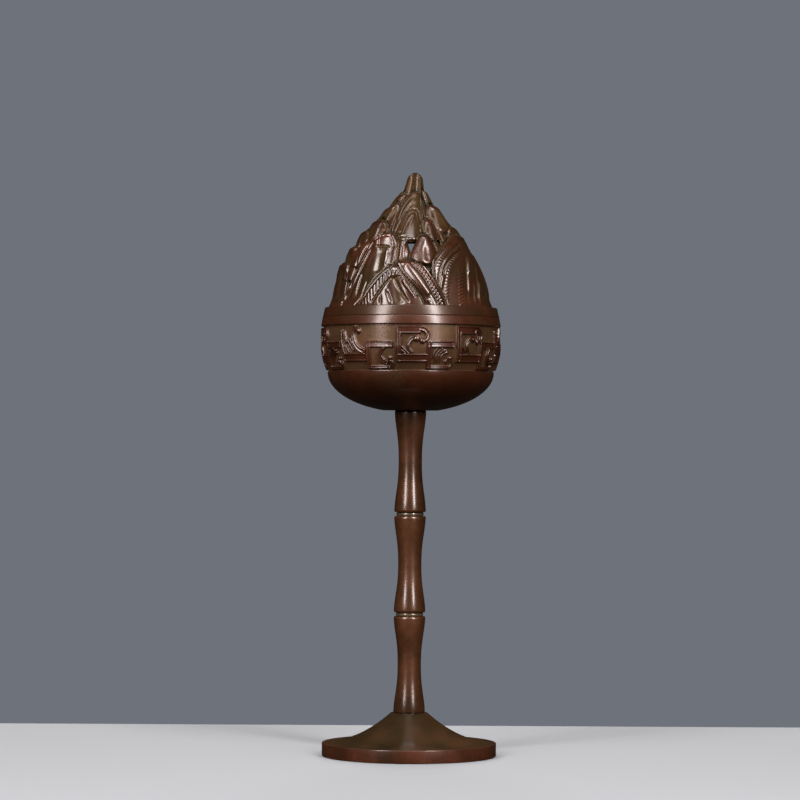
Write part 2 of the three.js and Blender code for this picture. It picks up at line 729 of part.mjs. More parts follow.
function lid() {
  const pierced = lidCore().subtract(wasm.Manifold.union(holes.map(smokeHole)));
  const twins = peaks.filter((peak) => peak.twin).map((peak) => turnedPeak(peak, peak.twin));
  const all = [...peaks, ...twins];
  const ribs = all.flatMap((peak) => (peak.ribs ?? []).map((rib) => ribSolid(peak, rib)));
  return wasm.Manifold.union([pierced, spire(), ...all.map(peakSolid), ...ribs]).subtract(lidHollow());
}

// Patinated bronze
const bronze = { color: 0x6b4129, roughness: 0.35, metalness: 0.9 };
const paleBronze = { color: 0x9a6a3c, roughness: 0.3, metalness: 0.9 };
const brass = { color: 0xb08d57, roughness: 0.4, metalness: 1 };
const darkBronze = { color: 0x4a2f20, roughness: 0.45, metalness: 0.9 };

const object = new THREE.Group();

function add(name, body, look) {
  const mesh = new THREE.Mesh(toGeometry(body), new THREE.MeshStandardMaterial(look));
  mesh.name = name;
  object.add(mesh);
}

add('foot', foot(), bronze);
add('stem_lower', segment(footHeight, segmentLengths.stem_lower), bronze);
add('stem_ring_lower', stemRing(lowerTop), paleBronze);
add('stem_middle', segment(middleBottom, segmentLengths.stem_middle), bronze);
add('stem_ring_upper', stemRing(middleTop), paleBronze);
add('stem_upper', segment(upperBottom, segmentLengths.stem_upper), bronze);
add('tie_rod', tieRod(), brass);
add('foot_washer', washer(footBossHeight - washerThickness), brass);
add('foot_nut', nut(footBossHeight - washerThickness - nutHeight), brass);
add('bowl', bowl(), bronze);
add('bowl_washer', washer(bowlFloorTop), brass);
add('bowl_nut', nut(bowlFloorTop + washerThickness), brass);
add('ash_pan', ashPan(), darkBronze);
add('lid', lid(), bronze);

export default object;
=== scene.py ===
import math

import bpy
import numpy as np
from bpy.props import FloatProperty, FloatVectorProperty, IntProperty, PointerProperty
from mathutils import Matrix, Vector


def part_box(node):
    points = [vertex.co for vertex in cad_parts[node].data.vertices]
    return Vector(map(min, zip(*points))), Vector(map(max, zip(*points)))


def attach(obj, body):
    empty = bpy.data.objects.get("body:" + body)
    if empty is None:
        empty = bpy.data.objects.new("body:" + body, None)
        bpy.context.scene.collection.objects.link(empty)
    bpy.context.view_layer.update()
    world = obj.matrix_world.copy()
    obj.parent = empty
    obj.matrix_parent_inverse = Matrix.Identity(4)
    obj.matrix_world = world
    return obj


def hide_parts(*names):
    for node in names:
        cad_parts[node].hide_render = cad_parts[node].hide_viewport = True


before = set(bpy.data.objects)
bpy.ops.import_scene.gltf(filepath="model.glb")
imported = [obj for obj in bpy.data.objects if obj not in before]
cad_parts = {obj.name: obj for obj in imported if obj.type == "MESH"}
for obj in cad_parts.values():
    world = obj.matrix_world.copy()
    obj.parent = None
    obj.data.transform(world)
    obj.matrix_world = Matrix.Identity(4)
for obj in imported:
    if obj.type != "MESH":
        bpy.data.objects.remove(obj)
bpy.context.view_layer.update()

bl_info = {
    "name": "Hill Censer",
    "version": (1, 0, 0),
    "blender": (4, 5, 0),
    "location": "View3D > Sidebar > Hill Censer",
    "description": "Dresses a packed hill censer: carved mountain lid, meander bowl, bamboo stem and foot",
    "category": "Add Mesh",
}

MM = 0.001


def heights_of(node):
    """A node's lowest and highest point, in millimetres."""
    low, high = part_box(node)
    return low[2] / MM, high[2] / MM


def radius_of(node):
    """Half of a round node's width, in millimetres."""
    low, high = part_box(node)
    return (high[0] - low[0]) / 2 / MM


# Heights and radii taken from the frame, in millimetres
FOOT_TOP = heights_of("foot")[1]
FOOT_RADIUS = radius_of("foot")
BOWL_BASE, SEAM = heights_of("bowl")
LIP_BOTTOM, TOP = heights_of("lid")
LID_RIM_RADIUS = radius_of("lid")
PAN_FLOOR, PAN_RIM = heights_of("ash_pan")
PAN_RADIUS = radius_of("ash_pan")
SEGMENT_RADIUS = radius_of("stem_lower")
RING_RADIUS = radius_of("stem_ring_lower")
ROD_RADIUS = radius_of("tie_rod")

# The rest follows the frame's solids, in millimetres: the lid
LID_RIM_HEIGHT = 4.3
LID_RIM_TAPER = 1
MOUNTAIN_SETBACK = 0.6
MOUNTAIN_BASE = SEAM + LID_RIM_HEIGHT
MOUNTAIN_HEIGHT = TOP - MOUNTAIN_BASE
MOUNTAIN_RADIUS = 36.4
MOUTH_RADIUS = 34.4
LIP_CLEARANCE = 0.4
LIP_WALL = 2.4
VALLEY_DEPTH = 3.6
LID_WALL = 2.2
HOLLOW_SHARE = 0.74

# The bowl
BOWL_BOTTOM_RADIUS = 36.4
BOTTOM_ARC_HEIGHT = 17.5
BAND_BOTTOM = BOWL_BASE + 16.5
BAND_TOP = SEAM - 4
BAND_RADIUS = 38.2
BAND_CURVE_HEIGHT = 11
BAND_DRAW_IN = 2.6
BOWL_RIM_RADIUS = 39.4
BOWL_HOLLOW_RADIUS = 34
BOWL_HOLLOW_ARC = 26
STRAIGHT_WALL = 15.5
BOWL_FLOOR = BOWL_BASE + 4
FLOOR_RADIUS = 6
MOUTH_DEPTH = 6
BOWL_RIM_TAPER = 0.7
RIM_STEP = 0.15
RIM_ROUNDING = 0.35
BAND_START = 0.5
BOTTOM_EDGE = ((0.05, 0.25), (-0.2, 0.4))

# The foot, the stem and the ash pan
SIDES = 96
FINE_ROUNDING = 0.2
SOFT_ROUNDING = 0.4
BORE_RADIUS = 2.9
FOOT_EDGE_TOP = 5.7
FOOT_EDGE_ROUNDING = 0.5
FOOT_RING_WIDTH = 7
FOOT_WALL = 3.2
STEM_SEAT_RADIUS = 8
NUT_ROOM_RADIUS = 9.5
NUT_ROOM_TOP = 8.6
WAIST_RADIUS = 5.1
WAIST_POWER = 1.35
BEVEL_WIDTH = 0.4
BEVEL_HEIGHT = 0.35
PAN_BASE = PAN_FLOOR + 7.2
PAN_BASE_RADIUS = 20
PAN_WALL = 1.9
PAN_CENTRE = 0.01
PAN_SIDES = 128
PAN_RING_INNER = 15.5
PAN_RING_OUTER = 18.5

# The fasteners
NUT_ACROSS_FLATS = 8
NUT_CLEARANCE = 0.3
THREAD_LENGTH = 9
THREAD_PITCH = 0.8
THREAD_DEPTH = 0.35
ROWS_PER_TURN = 8
ROD_SIDES = 48
ROD_END_LENGTH = 0.6
ROD_END_BEVEL = 0.4
NUT_SIDES = 180
CHAMFER_SLOPE = 1.6


def smoothstep(low, high, x):
    """0 below low, 1 above high and a smooth climb between them."""
    t = np.clip((x - low) / (high - low), 0, 1)
    return t * t * (3 - 2 * t)


# Meshes from rings

def skin(name, rings, ridge=None, cap_start=True, cap_end=True):
    """A smooth closed mesh over rings (rows, columns, 3), in millimetres. Caps close the two ends."""
    rows, columns = rings.shape[:2]
    points = rings.reshape(-1, 3)
    row, column = np.meshgrid(np.arange(rows - 1), np.arange(columns), indexing="ij")
    a = row * columns + column
    b = row * columns + (column + 1) % columns
    quads = np.stack([a, b, b + columns, a + columns], axis=-1).reshape(-1, 4)
    u0, u1 = column / columns, (column + 1) / columns
    v0, v1 = row / (rows - 1), (row + 1) / (rows - 1)
    uv = np.stack([np.stack([u0, v0], -1), np.stack([u1, v0], -1), np.stack([u1, v1], -1),
                   np.stack([u0, v1], -1)], axis=-2).reshape(-1, 2)
    tips, fans, fan_uv = [], [], []
    for wanted, ring, forward in ((cap_start, 0, False), (cap_end, rows - 1, True)):
        if not wanted:
            continue
        tip = len(points) + len(tips)
        tips.append(rings[ring].mean(axis=0))
        edge = ring * columns + np.arange(columns)
        following = ring * columns + (np.arange(columns) + 1) % columns
        pair = (edge, following) if forward else (following, edge)
        fans.append(np.stack([*pair, np.full(columns, tip)], axis=-1))
        turn = 2 * np.pi * np.arange(columns + 1) / columns
        circle = 0.5 + 0.5 * np.stack([np.cos(turn), np.sin(turn)], -1)
        first, second = (circle[:-1], circle[1:]) if forward else (circle[1:], circle[:-1])
        fan_uv.append(np.stack([first, second, np.full_like(first, 0.5)], axis=1).reshape(-1, 2))
    if not (cap_start or cap_end) and np.allclose(rings[0], rings[-1]):
        points = points[:-columns]
        quads = quads % len(points)
        ridge = None if ridge is None else ridge[:-1]
    verts = np.concatenate([points, np.array(tips).reshape(-1, 3)])
    faces = [quads.reshape(-1), *[fan.reshape(-1) for fan in fans]]
    sizes = [np.full(len(quads), 4), *[np.full(len(fan), 3) for fan in fans]]
    coords = np.concatenate([uv, *fan_uv])
    values = None if ridge is None else np.concatenate([ridge.reshape(-1), np.full(len(tips), 0.5)])
    return build(name, verts, np.concatenate(faces), np.concatenate(sizes), coords, values)


def build(name, verts, corners, sizes, coords=None, ridge=None):
    """An object from points in millimetres and faces given by their corners and sizes."""
    mesh = bpy.data.meshes.new(name)
    mesh.vertices.add(len(verts))
    mesh.vertices.foreach_set("co", (verts * MM).astype(np.float32).reshape(-1))
    mesh.loops.add(len(corners))
    mesh.loops.foreach_set("vertex_index", corners.astype(np.int32))
    mesh.polygons.add(len(sizes))
    starts = np.concatenate([[0], np.cumsum(sizes)[:-1]])
    mesh.polygons.foreach_set("loop_start", starts.astype(np.int32))
    mesh.polygons.foreach_set("loop_total", sizes.astype(np.int32))
    mesh.polygons.foreach_set("use_smooth", np.ones(len(sizes), dtype=bool))
    if coords is not None:
        layer = mesh.uv_layers.new(name="OFBake")
        layer.data.foreach_set("uv", coords.astype(np.float32).reshape(-1))
    if ridge is not None:
        attribute = mesh.attributes.new("ridge", "FLOAT", "POINT")
        attribute.data.foreach_set("value", ridge.astype(np.float32))
    mesh.update()
    mesh.validate()
    piece = bpy.data.objects.new(name, mesh)
    bpy.context.scene.collection.objects.link(piece)
    return piece


def around(radius, azimuth, z):
    """Points on a circle: azimuth 0 is the front (-Y) and grows towards +X."""
    radius, azimuth, z = np.broadcast_arrays(radius, azimuth, z)
    return np.stack([radius * np.sin(azimuth), -radius * np.cos(azimuth), z], axis=-1)


def all_round(count):
    """Evenly spaced azimuths, as one row."""
    return (2 * np.pi * np.arange(count) / count)[None, :]


def swept(profile, azimuth):
    """Rings through the (radius, height) points of a profile."""
    points = np.array(profile, dtype=float)
    return around(points[:, :1], azimuth, points[:, 1:])


def turned(name, profile, sides, closed=False, worn=None):
    """A turned piece from a profile of (radius, height) points. A closed profile has a bore. worn gives the
    ridge value for an array of radii."""
    points = np.array([*profile, *profile[:1]] if closed else profile, dtype=float)
    ridge = worn(points[:, :1]) * np.ones((1, sides)) if worn else None
    return skin(name, swept(points, all_round(sides)), ridge, cap_start=not closed, cap_end=not closed)


def rounded(corners, radius, steps=4):
    """A profile whose corners are rounded off: corners is a list of (radius, height)."""
    corners = np.array(corners, dtype=float)
    points = [corners[0]]
    for before, here, after in zip(corners, corners[1:], corners[2:]):
        sides = (before - here, after - here)
        lengths = [np.linalg.norm(side) for side in sides]
        cut = min(radius, *(length * 0.45 for length in lengths))
        start, end = (here + side / length * cut for side, length in zip(sides, lengths))
        for t in np.linspace(0, 1, steps + 1):
            points.append((1 - t) ** 2 * start + 2 * t * (1 - t) * here + t * t * end)
    return [*points, corners[-1]]


# The mountains. Peaks, holes and widths are those of the frame's solid.

def ogive(height):
    """Radius of the lid's outline at each height."""
    share = np.clip(height / MOUNTAIN_HEIGHT, 0, 1)
    return MOUNTAIN_RADIUS * (1 - share ** 2) ** OGIVE_POWER


def valley(height):
    """Radius of the shell between the peaks."""
    return np.maximum(SHELL_TOP_RADIUS, ogive(height) - VALLEY_DEPTH)


# Places on the lid are (degrees from the front, millimetres above the mountains' base). A peak has a tip
# and two flanks that run down from it. back: how far its face stands behind the lid's outline at the tip.
# lean: how much further back it goes below. crown: how far it falls away towards its flanks. twin: degrees
# to its like at the back, 180 unless given and 0 for none. rim: width of the raised line along its edge.
# belly: how far its lower edge hangs in the middle. rounding: how round that edge is. reach: its largest
# radius. proud: how far it stands out again. folds: its face, from FOLDS. Strokes are (kind, half width,
# height, places...).
PEAKS = [
    dict(tip=(76, 52), left=((62, 48), (57, 43), (54, 36)), right=((100, 48), (106, 42), (110, 36)),
         back=0, lean=2, crown=0.9),
    dict(tip=(-60, 50.5), left=((-88, 48), (-96, 42), (-98, 36)), right=((-40, 48.5), (-36, 44), (-34, 36)),
         back=0.8, lean=2, crown=1.8),
    dict(tip=(12, 51.5), left=((-18, 49.5), (-30, 45.5), (-28, 41), (-26, 36.5), (-24, 31)),
         right=((34, 50), (28, 47), (22, 43), (19, 39), (17, 31)),
         back=1, lean=0.8, crown=1.3, rim=0.6, strokes=(
        ("cut", 0.45, 0.45, (10, 49), (-10, 47.5), (-20, 44), (-20, 37)),
        ("rib", 0.45, 0.3, (10, 47.5), (-8, 45.5), (-17, 41.5), (-18, 37)),
        ("cut", 0.4, 0.4, (8, 46), (-6, 43.5), (-14, 40)))),
    dict(tip=(-52, 46), left=((-66, 44), (-84, 42), (-90, 38), (-92, 32)),
         right=((-40, 44.5), (-35, 40), (-33, 32)),
         back=1, lean=1.8, crown=2.6, strokes=(("rib", 1.2, 0.4, (-46, 43), (-49, 39), (-50, 34)),)),
    dict(tip=(62, 45), left=((46, 43), (36, 39.5), (33, 33)), right=((84, 43), (96, 38), (99, 31)),
         back=0, lean=1.6, crown=3.4, rounding=2, strokes=(
        ("cut", 0.8, 0.4, (50, 42.5), (42, 37), (39, 32)),
        ("swell", 1.2, 0.4, (62, 43), (60, 38), (60, 32)))),
    dict(tip=(28, 38.5), left=((20, 37), (14, 33.5), (13, 29)), right=((35, 37), (36, 34), (35, 29)),
         back=1.8, lean=0.8, belly=0.6, crown=2.2, rim=0.5, rounding=1.6, strokes=(
        ("cut", 0.9, 0.35, (25, 35.5), (22, 32), (21, 29)),)),
    dict(tip=(4, 42), left=((-3, 41), (-10, 38.8), (-14, 35), (-17, 31), (-16, 28.5)),
         right=((9, 40.5), (11, 36.5), (12, 30), (9, 28)),
         back=1.5, lean=0, reach=23.7, belly=0.9, rounding=2.2, twin=0, crown=1.5, rim=0.5, strokes=(
        ("rib", 0.7, 0.2, (-1, 40), (-8, 37), (-11, 33.5), (-12, 31)),
        ("rib", 0.6, 0.2, (5, 39.5), (0, 37), (-3, 34.5)))),
    dict(tip=(185, 44), left=((176, 43), (169, 40), (165, 34), (166, 30)),
         right=((191, 43), (196, 36), (195, 30)),
         back=1.4, lean=0.4, belly=-0.5, twin=0, crown=2, rim=0.5),
    dict(tip=(-64, 38.5), left=((-84, 37), (-96, 33), (-98, 26)), right=((-46, 36.5), (-38, 34), (-36, 27)),
         back=0.6, lean=1.8, crown=2.4, strokes=(("rib", 1.4, 0.4, (-54, 37), (-51, 33), (-51, 29)),)),
    dict(tip=(77, 36), left=((62, 34.5), (54, 31), (51, 26)), right=((95, 34), (102, 30), (104, 24)),
         back=0.8, lean=1, crown=1.5),
    dict(tip=(-80, 34), left=((-94, 33), (-103, 29), (-105, 22)), right=((-69, 33), (-63, 30), (-61, 22)),
         back=0, lean=2, twin=0, crown=1.8, strokes=(("rib", 0.8, 0.4, (-75, 32), (-71, 28), (-70, 24)),)),
    dict(tip=(-10, 29.5), left=((-15, 28), (-20, 24), (-21, 14)),
         right=((-5.5, 28.6), (-6.4, 26.8), (-3, 22.8), (-4, 14)),
         back=1.8, lean=0.6, twin=174, crown=0.8, strokes=(
        ("cut", 0.5, 0.35, (-12, 28), (-13, 23), (-13, 18)),
        ("rib", 1.2, 0.3, (-8, 27.5), (-8, 23), (-9, 18)))),
    dict(tip=(-57, 28), left=((-62, 27), (-66, 24), (-67, 17)), right=((-53, 27), (-50, 24), (-51, 17)),
         back=1.4, lean=0.8, crown=1.2),
    dict(tip=(-67, 25), left=((-72, 24), (-76, 19), (-77, 11)), right=((-62, 24), (-57, 19), (-57, 11)),
         back=1.2, lean=0.8, crown=1.4, strokes=(("cut", 0.4, 0.4, (-67, 23), (-65, 17), (-64, 12)),)),
    dict(tip=(-84, 27), left=((-96, 25.5), (-104, 21), (-106, 12)), right=((-74, 26), (-68, 22), (-66, 12)),
         back=0, lean=2, twin=0, crown=1.6, strokes=(("rib", 0.7, 0.4, (-79, 25), (-75, 20), (-73, 14)),)),
    dict(tip=(-27, 32), left=((-38, 30.5), (-43, 28.5), (-48, 24), (-51, 14), (-54, 8), (-62, 0)),
         right=((-21, 31), (-17, 28.5), (-15.5, 25), (-15, 18), (-8, 0)),
         back=0.2, lean=2, crown=0.9, rim=1.4, strokes=(
        ("swell", 3.8, 0.9, (-42, 28), (-38, 28.4), (-33, 28.8)),
        ("cut", 0.45, 0.6, (-36, 26.1), (-29, 26), (-21, 25.8)),
        ("swell", 1.0, 0.55, (-43, 25.5), (-45, 19), (-50, 11.5), (-57, 4), (-60, 1)),
        ("cut", 0.4, 0.5, (-41, 24.5), (-43.5, 18), (-48, 10.5), (-54, 3), (-56, 1)),
        ("swell", 1.5, 0.3, (-39.5, 24), (-40, 19), (-41, 12.5)),
        ("cut", 1.9, 0.6, (-28.5, 24.5), (-28, 19), (-27, 14)),
        ("rib", 0.4, 0.45, (-23.5, 25), (-23, 21.5), (-22.5, 18)),
        ("cut", 0.4, 0.45, (-41, 14.5), (-42.5, 9.5), (-44, 4)),
        ("swell", 1.2, 0.5, (-44, 14.5), (-46, 9), (-48.5, 3)),
        ("cut", 0.4, 0.4, (-35, 11), (-37, 6.5), (-39, 3)))),
    dict(tip=(15, 31.2), left=((9.5, 29.5), (6.2, 26.8), (1.2, 22.6), (0.5, 20)),
         right=((20, 29.5), (23, 25.5), (24, 21), (23, 18.8)),
         back=0.3, lean=1.2, twin=187, belly=1.8, rounding=1.6, crown=1.8, strokes=(
        ("cut", 1.2, 0.25, (14.5, 26.5), (14, 22), (14, 19)),)),
    dict(tip=(68, 32), left=((47, 28.5), (36, 26), (27, 22.5), (22, 20), (18.5, 16.5), (18, 11), (20, 0)),
         right=((84, 29.5), (92, 21), (96, 10), (98, 0)),
         back=0.3, lean=1.2, crown=1.2, rim=0.7, strokes=(
        ("hatch", 0.9, 0.2, (62, 29.4), (44, 26.4), (31, 22), (24, 18), (20.5, 13), (20.5, 8)),
        ("cut", 0.35, 0.6, (56, 27.5), (37, 22.8), (28, 18.6), (22.5, 13.5), (21.5, 9)),
        ("rib", 0.6, 0.45, (52, 25.8), (34, 21.2), (27, 17.2), (23.5, 12.5)),
        ("cut", 0.45, 0.6, (47, 23.6), (33, 19.6), (27, 15.8), (25, 12)),
        ("hatch", 0.9, 0.5, (46, 22.3), (37.5, 19.2), (32.5, 15.5), (29.5, 11.5), (27.5, 7.5), (26.5, 3)),
        ("rib", 0.9, 0.45, (26, 13), (23.5, 10), (22, 6.5)),
        ("hatch", 1.4, 0.5, (43, 15), (40, 8.5), (38, 0.5)),
        ("cut", 0.5, 0.25, (48, 15), (45.5, 8), (44, 1)),
        ("rib", 0.6, 0.55, (61, 22), (55, 18), (51, 14.5)),
        ("cut", 0.55, 0.6, (57, 22), (51, 17), (48, 12), (46, 6)),
        ("rib", 0.7, 0.45, (55, 10.5), (53, 6), (52, 1.5)),
        ("rib", 0.7, 0.55, (63, 11.5), (60, 6), (57, 1)),
        ("cut", 0.55, 0.6, (66, 18), (60, 12), (55.5, 3)),
        ("cut", 0.55, 0.6, (80, 26), (76, 15), (72, 4)),
        ("rib", 0.7, 0.45, (85, 24), (83, 14), (82, 4)))),
    dict(tip=(107, 25), left=((96, 23), (92, 16), (90, 0)), right=((116, 23), (122, 16), (126, 0)),
         back=0.6, lean=1, twin=0, crown=1.2, rim=0.7, folds="wide"),
    dict(tip=(-80, 19.8), left=((-94, 18.5), (-102, 14), (-106, 6), (-108, 0)),
         right=((-73, 19.5), (-66, 17), (-62, 10), (-60, 0)),
         back=0, lean=1.8, twin=0, crown=1.2, rim=0.7, strokes=(
        ("rib", 0.7, 0.5, (-76, 17), (-71, 11), (-68, 3)),
        ("cut", 0.5, 0.5, (-79, 17), (-75, 11), (-72, 3)),
        ("rib", 0.5, 0.4, (-84, 16), (-84, 9), (-82, 2)))),
    dict(tip=(-12, 17.8), left=((-17, 16), (-25.5, 11.6), (-30, 8.3), (-34, 4.6), (-40, 0)),
         right=((-8, 17), (4, 8), (10, 0)),
         back=0, lean=0.4, crown=0.5, rim=0.6, strokes=(
        ("upright", 1.7, 0.42, (-13.5, 15.0), (-20, 11.8), (-25.5, 7.8), (-31, 3.3), (-34, 0.5)),
        ("cut", 0.35, 0.6, (-14, 12.5), (-19, 9), (-23, 5.5), (-28, 1)),
        ("cut", 2.6, 1.1, (-12.5, 13), (-9, 6), (-7, 0)),
        ("cut", 0.6, 0.6, (-12, 11.5), (-8, 6.5), (-3, 2.5), (-1, 0.5)),
        ("cut", 0.5, 0.6, (-17, 6.5), (-14.5, 2.5), (-13, 0.5)),
        ("cut", 0.5, 0.5, (-21.5, 4), (-21, 0.5)),
        ("hatch", 1.2, 0.65, (-9.5, 15.8), (-3, 10.5), (4, 4.5)),
        ("rib", 0.8, 0.7, (-5, 10.5), (-1.5, 7), (2, 4)))),
    dict(tip=(-5, 19.8), left=((-9.5, 18), (-5, 14.2), (0, 10.8), (9.5, 4.5), (12, 0)),
         right=((-1, 19), (9, 17.2), (14, 13), (18, 8.5), (22, 4), (23.5, 0)),
         back=0, lean=0.2, crown=0.4, rim=0.4, proud=0.5, strokes=(
        ("swell", 1.5, 0.6, (-5, 18.2), (3.2, 12.6), (9.6, 7), (13, 4)),
        ("cut", 0.4, 0.6, (-1, 19), (8, 13.4), (13, 8), (17, 3), (19, 0.5)),
        ("hatch", 1.2, 0.8, (2.5, 18.6), (10.5, 13.4), (15.2, 8.2), (19, 3.6), (21, 0.5)),
        ("rib", 0.6, 0.35, (11, 3.4), (13, 0.6)))),
]
FOLDS = {
    "wide": ((-1, 0), (-0.66, -0.1), (-0.6, 0.35), (-0.54, -0.3), (-0.4, 0.35), (-0.34, -0.35),
             (-0.18, 0.25), (-0.1, -0.4), (0.1, 0.3), (0.2, -0.3), (0.42, 0.4), (0.52, -0.2), (0.75, 0.2),
             (1, 0)),
}
OGIVE_POWER = 1.35
ROW_POWER = 1.12
TIP_GAP = 0.02
SHELL_TOP_RADIUS = 0.8
HALF_TURN = 180
MARGIN = 6
STEEPEST = 3
TIP_HALF_WIDTH = 0.9
TIP_ALLOWANCE = 0.3
NOSE_DEPTH = 1.4
NOSE_LENGTH = 1.8
LEAN_LENGTH = 9
FLARE_HEIGHT = 5
EDGE_DEPTH = 6
EDGE_SOFT = 0.35
EDGE_CHAMFER = 0.4
EDGE_CHAMFER_WIDTH = 0.5
EDGE_ROUNDING = 0.8
RIM_HEIGHT = 0.35
TRENCH_DEPTH = 0.55
TRENCH_PLACE = 0.45
TRENCH_WIDTH = 0.35
CARVING_FADE = (2, 12)
STROKE_TAPER = 1.6
HATCH_PITCH = 1.5
UPRIGHT_PITCH = 2.1

RIM_TONE = 0.44
# Tone: 0 in recesses, 1 on ridges; below 0.2 the lid's material paints shade into the colour. Reaches are in
# cells of the lid's grid.
SMOOTHING = 2
TONE_REACH = 12
TONE_RANGE = 1.6
PLAIN_TONE = 0.45
INSIDE_TONE = 0.2
HIGH_DULLING = 0.26
DULLING_SPAN = (22, 42)
SPIRE_FOOT = 41.6
SPIRE_TIP_RADIUS = 2.9
SPIRE_FLARE = 0.21
SPIRE_DOME = 2.8
SPIRE_FLUTES = 8
SPIRE_LEAN = 1.5
SPIRE_LEAN_SPAN = (0.7, 0.98)
FLUTE_DEPTH = 0.2
FLUTE_TURN = 0.3
FLUTE_POWER = 0.7

HOLES = [
    dict(azimuth=0, middle=25, width=6, height=6),
    dict(azimuth=180, middle=26.8, width=8, height=5.6),
    dict(azimuth=14, middle=36, width=2.4, height=3),
    dict(azimuth=33, middle=27, width=3, height=4),
    dict(azimuth=-43, middle=33, width=3, height=4),
    dict(azimuth=26, middle=22, width=2.4, height=3),
]


def flank(peak, side, height, turn):
    """Azimuth of a flank at each height, in radians. Flanks open from the tip as an arch does."""
    points = (peak["tip"], *peak[side])
    drops = [math.sqrt(peak["tip"][1] - h) for _, h in points]
    degrees = [degree + turn for degree, _ in points]
    return np.radians(np.interp(np.sqrt(np.clip(peak["tip"][1] - height, 0, None)), drops, degrees))


def plain_face(peak, height):
    """Radius of a peak's face at each height, before its carving."""
    below = peak["tip"][1] - height
    back = peak["back"] + peak["lean"] * smoothstep(0, LEAN_LENGTH, below)
    if peak["left"][-1][1] == 0:
        back = back * smoothstep(-1, FLARE_HEIGHT, height)
    nose = NOSE_DEPTH * np.clip(1 - below / NOSE_LENGTH, 0, 1) ** 2
    face = np.minimum(ogive(height) - back - nose, peak.get("reach", MOUNTAIN_RADIUS))
    return np.maximum(0.5, face) + peak.get("proud", 0) * smoothstep(0, 2, below)


def smooth_path(places, turn):
    """A line through places, with its corners cut twice."""
    path = np.array(places, dtype=float)
    path[:, 0] = np.radians(path[:, 0] + turn)
    for _ in range(2):
        a, b = path[:-1], path[1:]
        cut = np.stack([0.75 * a + 0.25 * b, 0.25 * a + 0.75 * b], axis=1).reshape(-1, 2)
        path = np.concatenate([path[:1], cut, path[-1:]])
    return path


def along_path(path, azimuth, height, radius):
    """Distance from the path, which side of it, and how far along it, for each point."""
    nearest = np.full(np.broadcast(azimuth, height).shape, 1e9)
    side = np.zeros_like(nearest)
    along = np.zeros_like(nearest)
    done = 0.0
    for (a0, h0), (a1, h1) in zip(path[:-1], path[1:]):
        dx, dy = (azimuth - a0) * radius, height - h0
        ex, ey = (a1 - a0) * radius, h1 - h0
        length = np.sqrt(ex * ex + ey * ey) + 1e-6
        t = np.clip((dx * ex + dy * ey) / length ** 2, 0, 1)
        gap = np.hypot(dx - t * ex, dy - t * ey)
        better = gap < nearest
        nearest = np.where(better, gap, nearest)
        side = np.where(better, np.sign(ex * dy - ey * dx), side)
        along = np.where(better, done + t * length, along)
        done = done + float(np.mean(length))
    return nearest, side * nearest, along, done


def stroke_relief(stroke, turn, azimuth, height, radius):
    """Height that a stroke adds to the face: a rib, a soft swell, a cut, or a hatched band, whose short ribs
    may stand upright."""
    kind, half, rise, *places = stroke
    gap, side, along, length = along_path(smooth_path(places, turn), azimuth, height, radius)
    taper = smoothstep(-0.1, STROKE_TAPER, along) * smoothstep(-0.1, STROKE_TAPER, length - along)
    if kind == "rib":
        return rise * np.sqrt(np.clip(1 - (gap / half) ** 2, 0, 1)) * (0.4 + 0.6 * taper)
    if kind in ("cut", "swell"):
        return (rise if kind == "swell" else -rise) * np.exp(-(gap / half) ** 2) * (0.3 + 0.7 * taper)
    within = 1 - smoothstep(half - 0.25, half + 0.1, gap)
    slant, pitch = (-1, UPRIGHT_PITCH) if kind == "upright" else (0.5, HATCH_PITCH)
    ridges = np.abs(np.sin(np.pi * (along + slant * side) / pitch)) ** 0.8
    return within * (ridges * rise - 0.5 * rise)


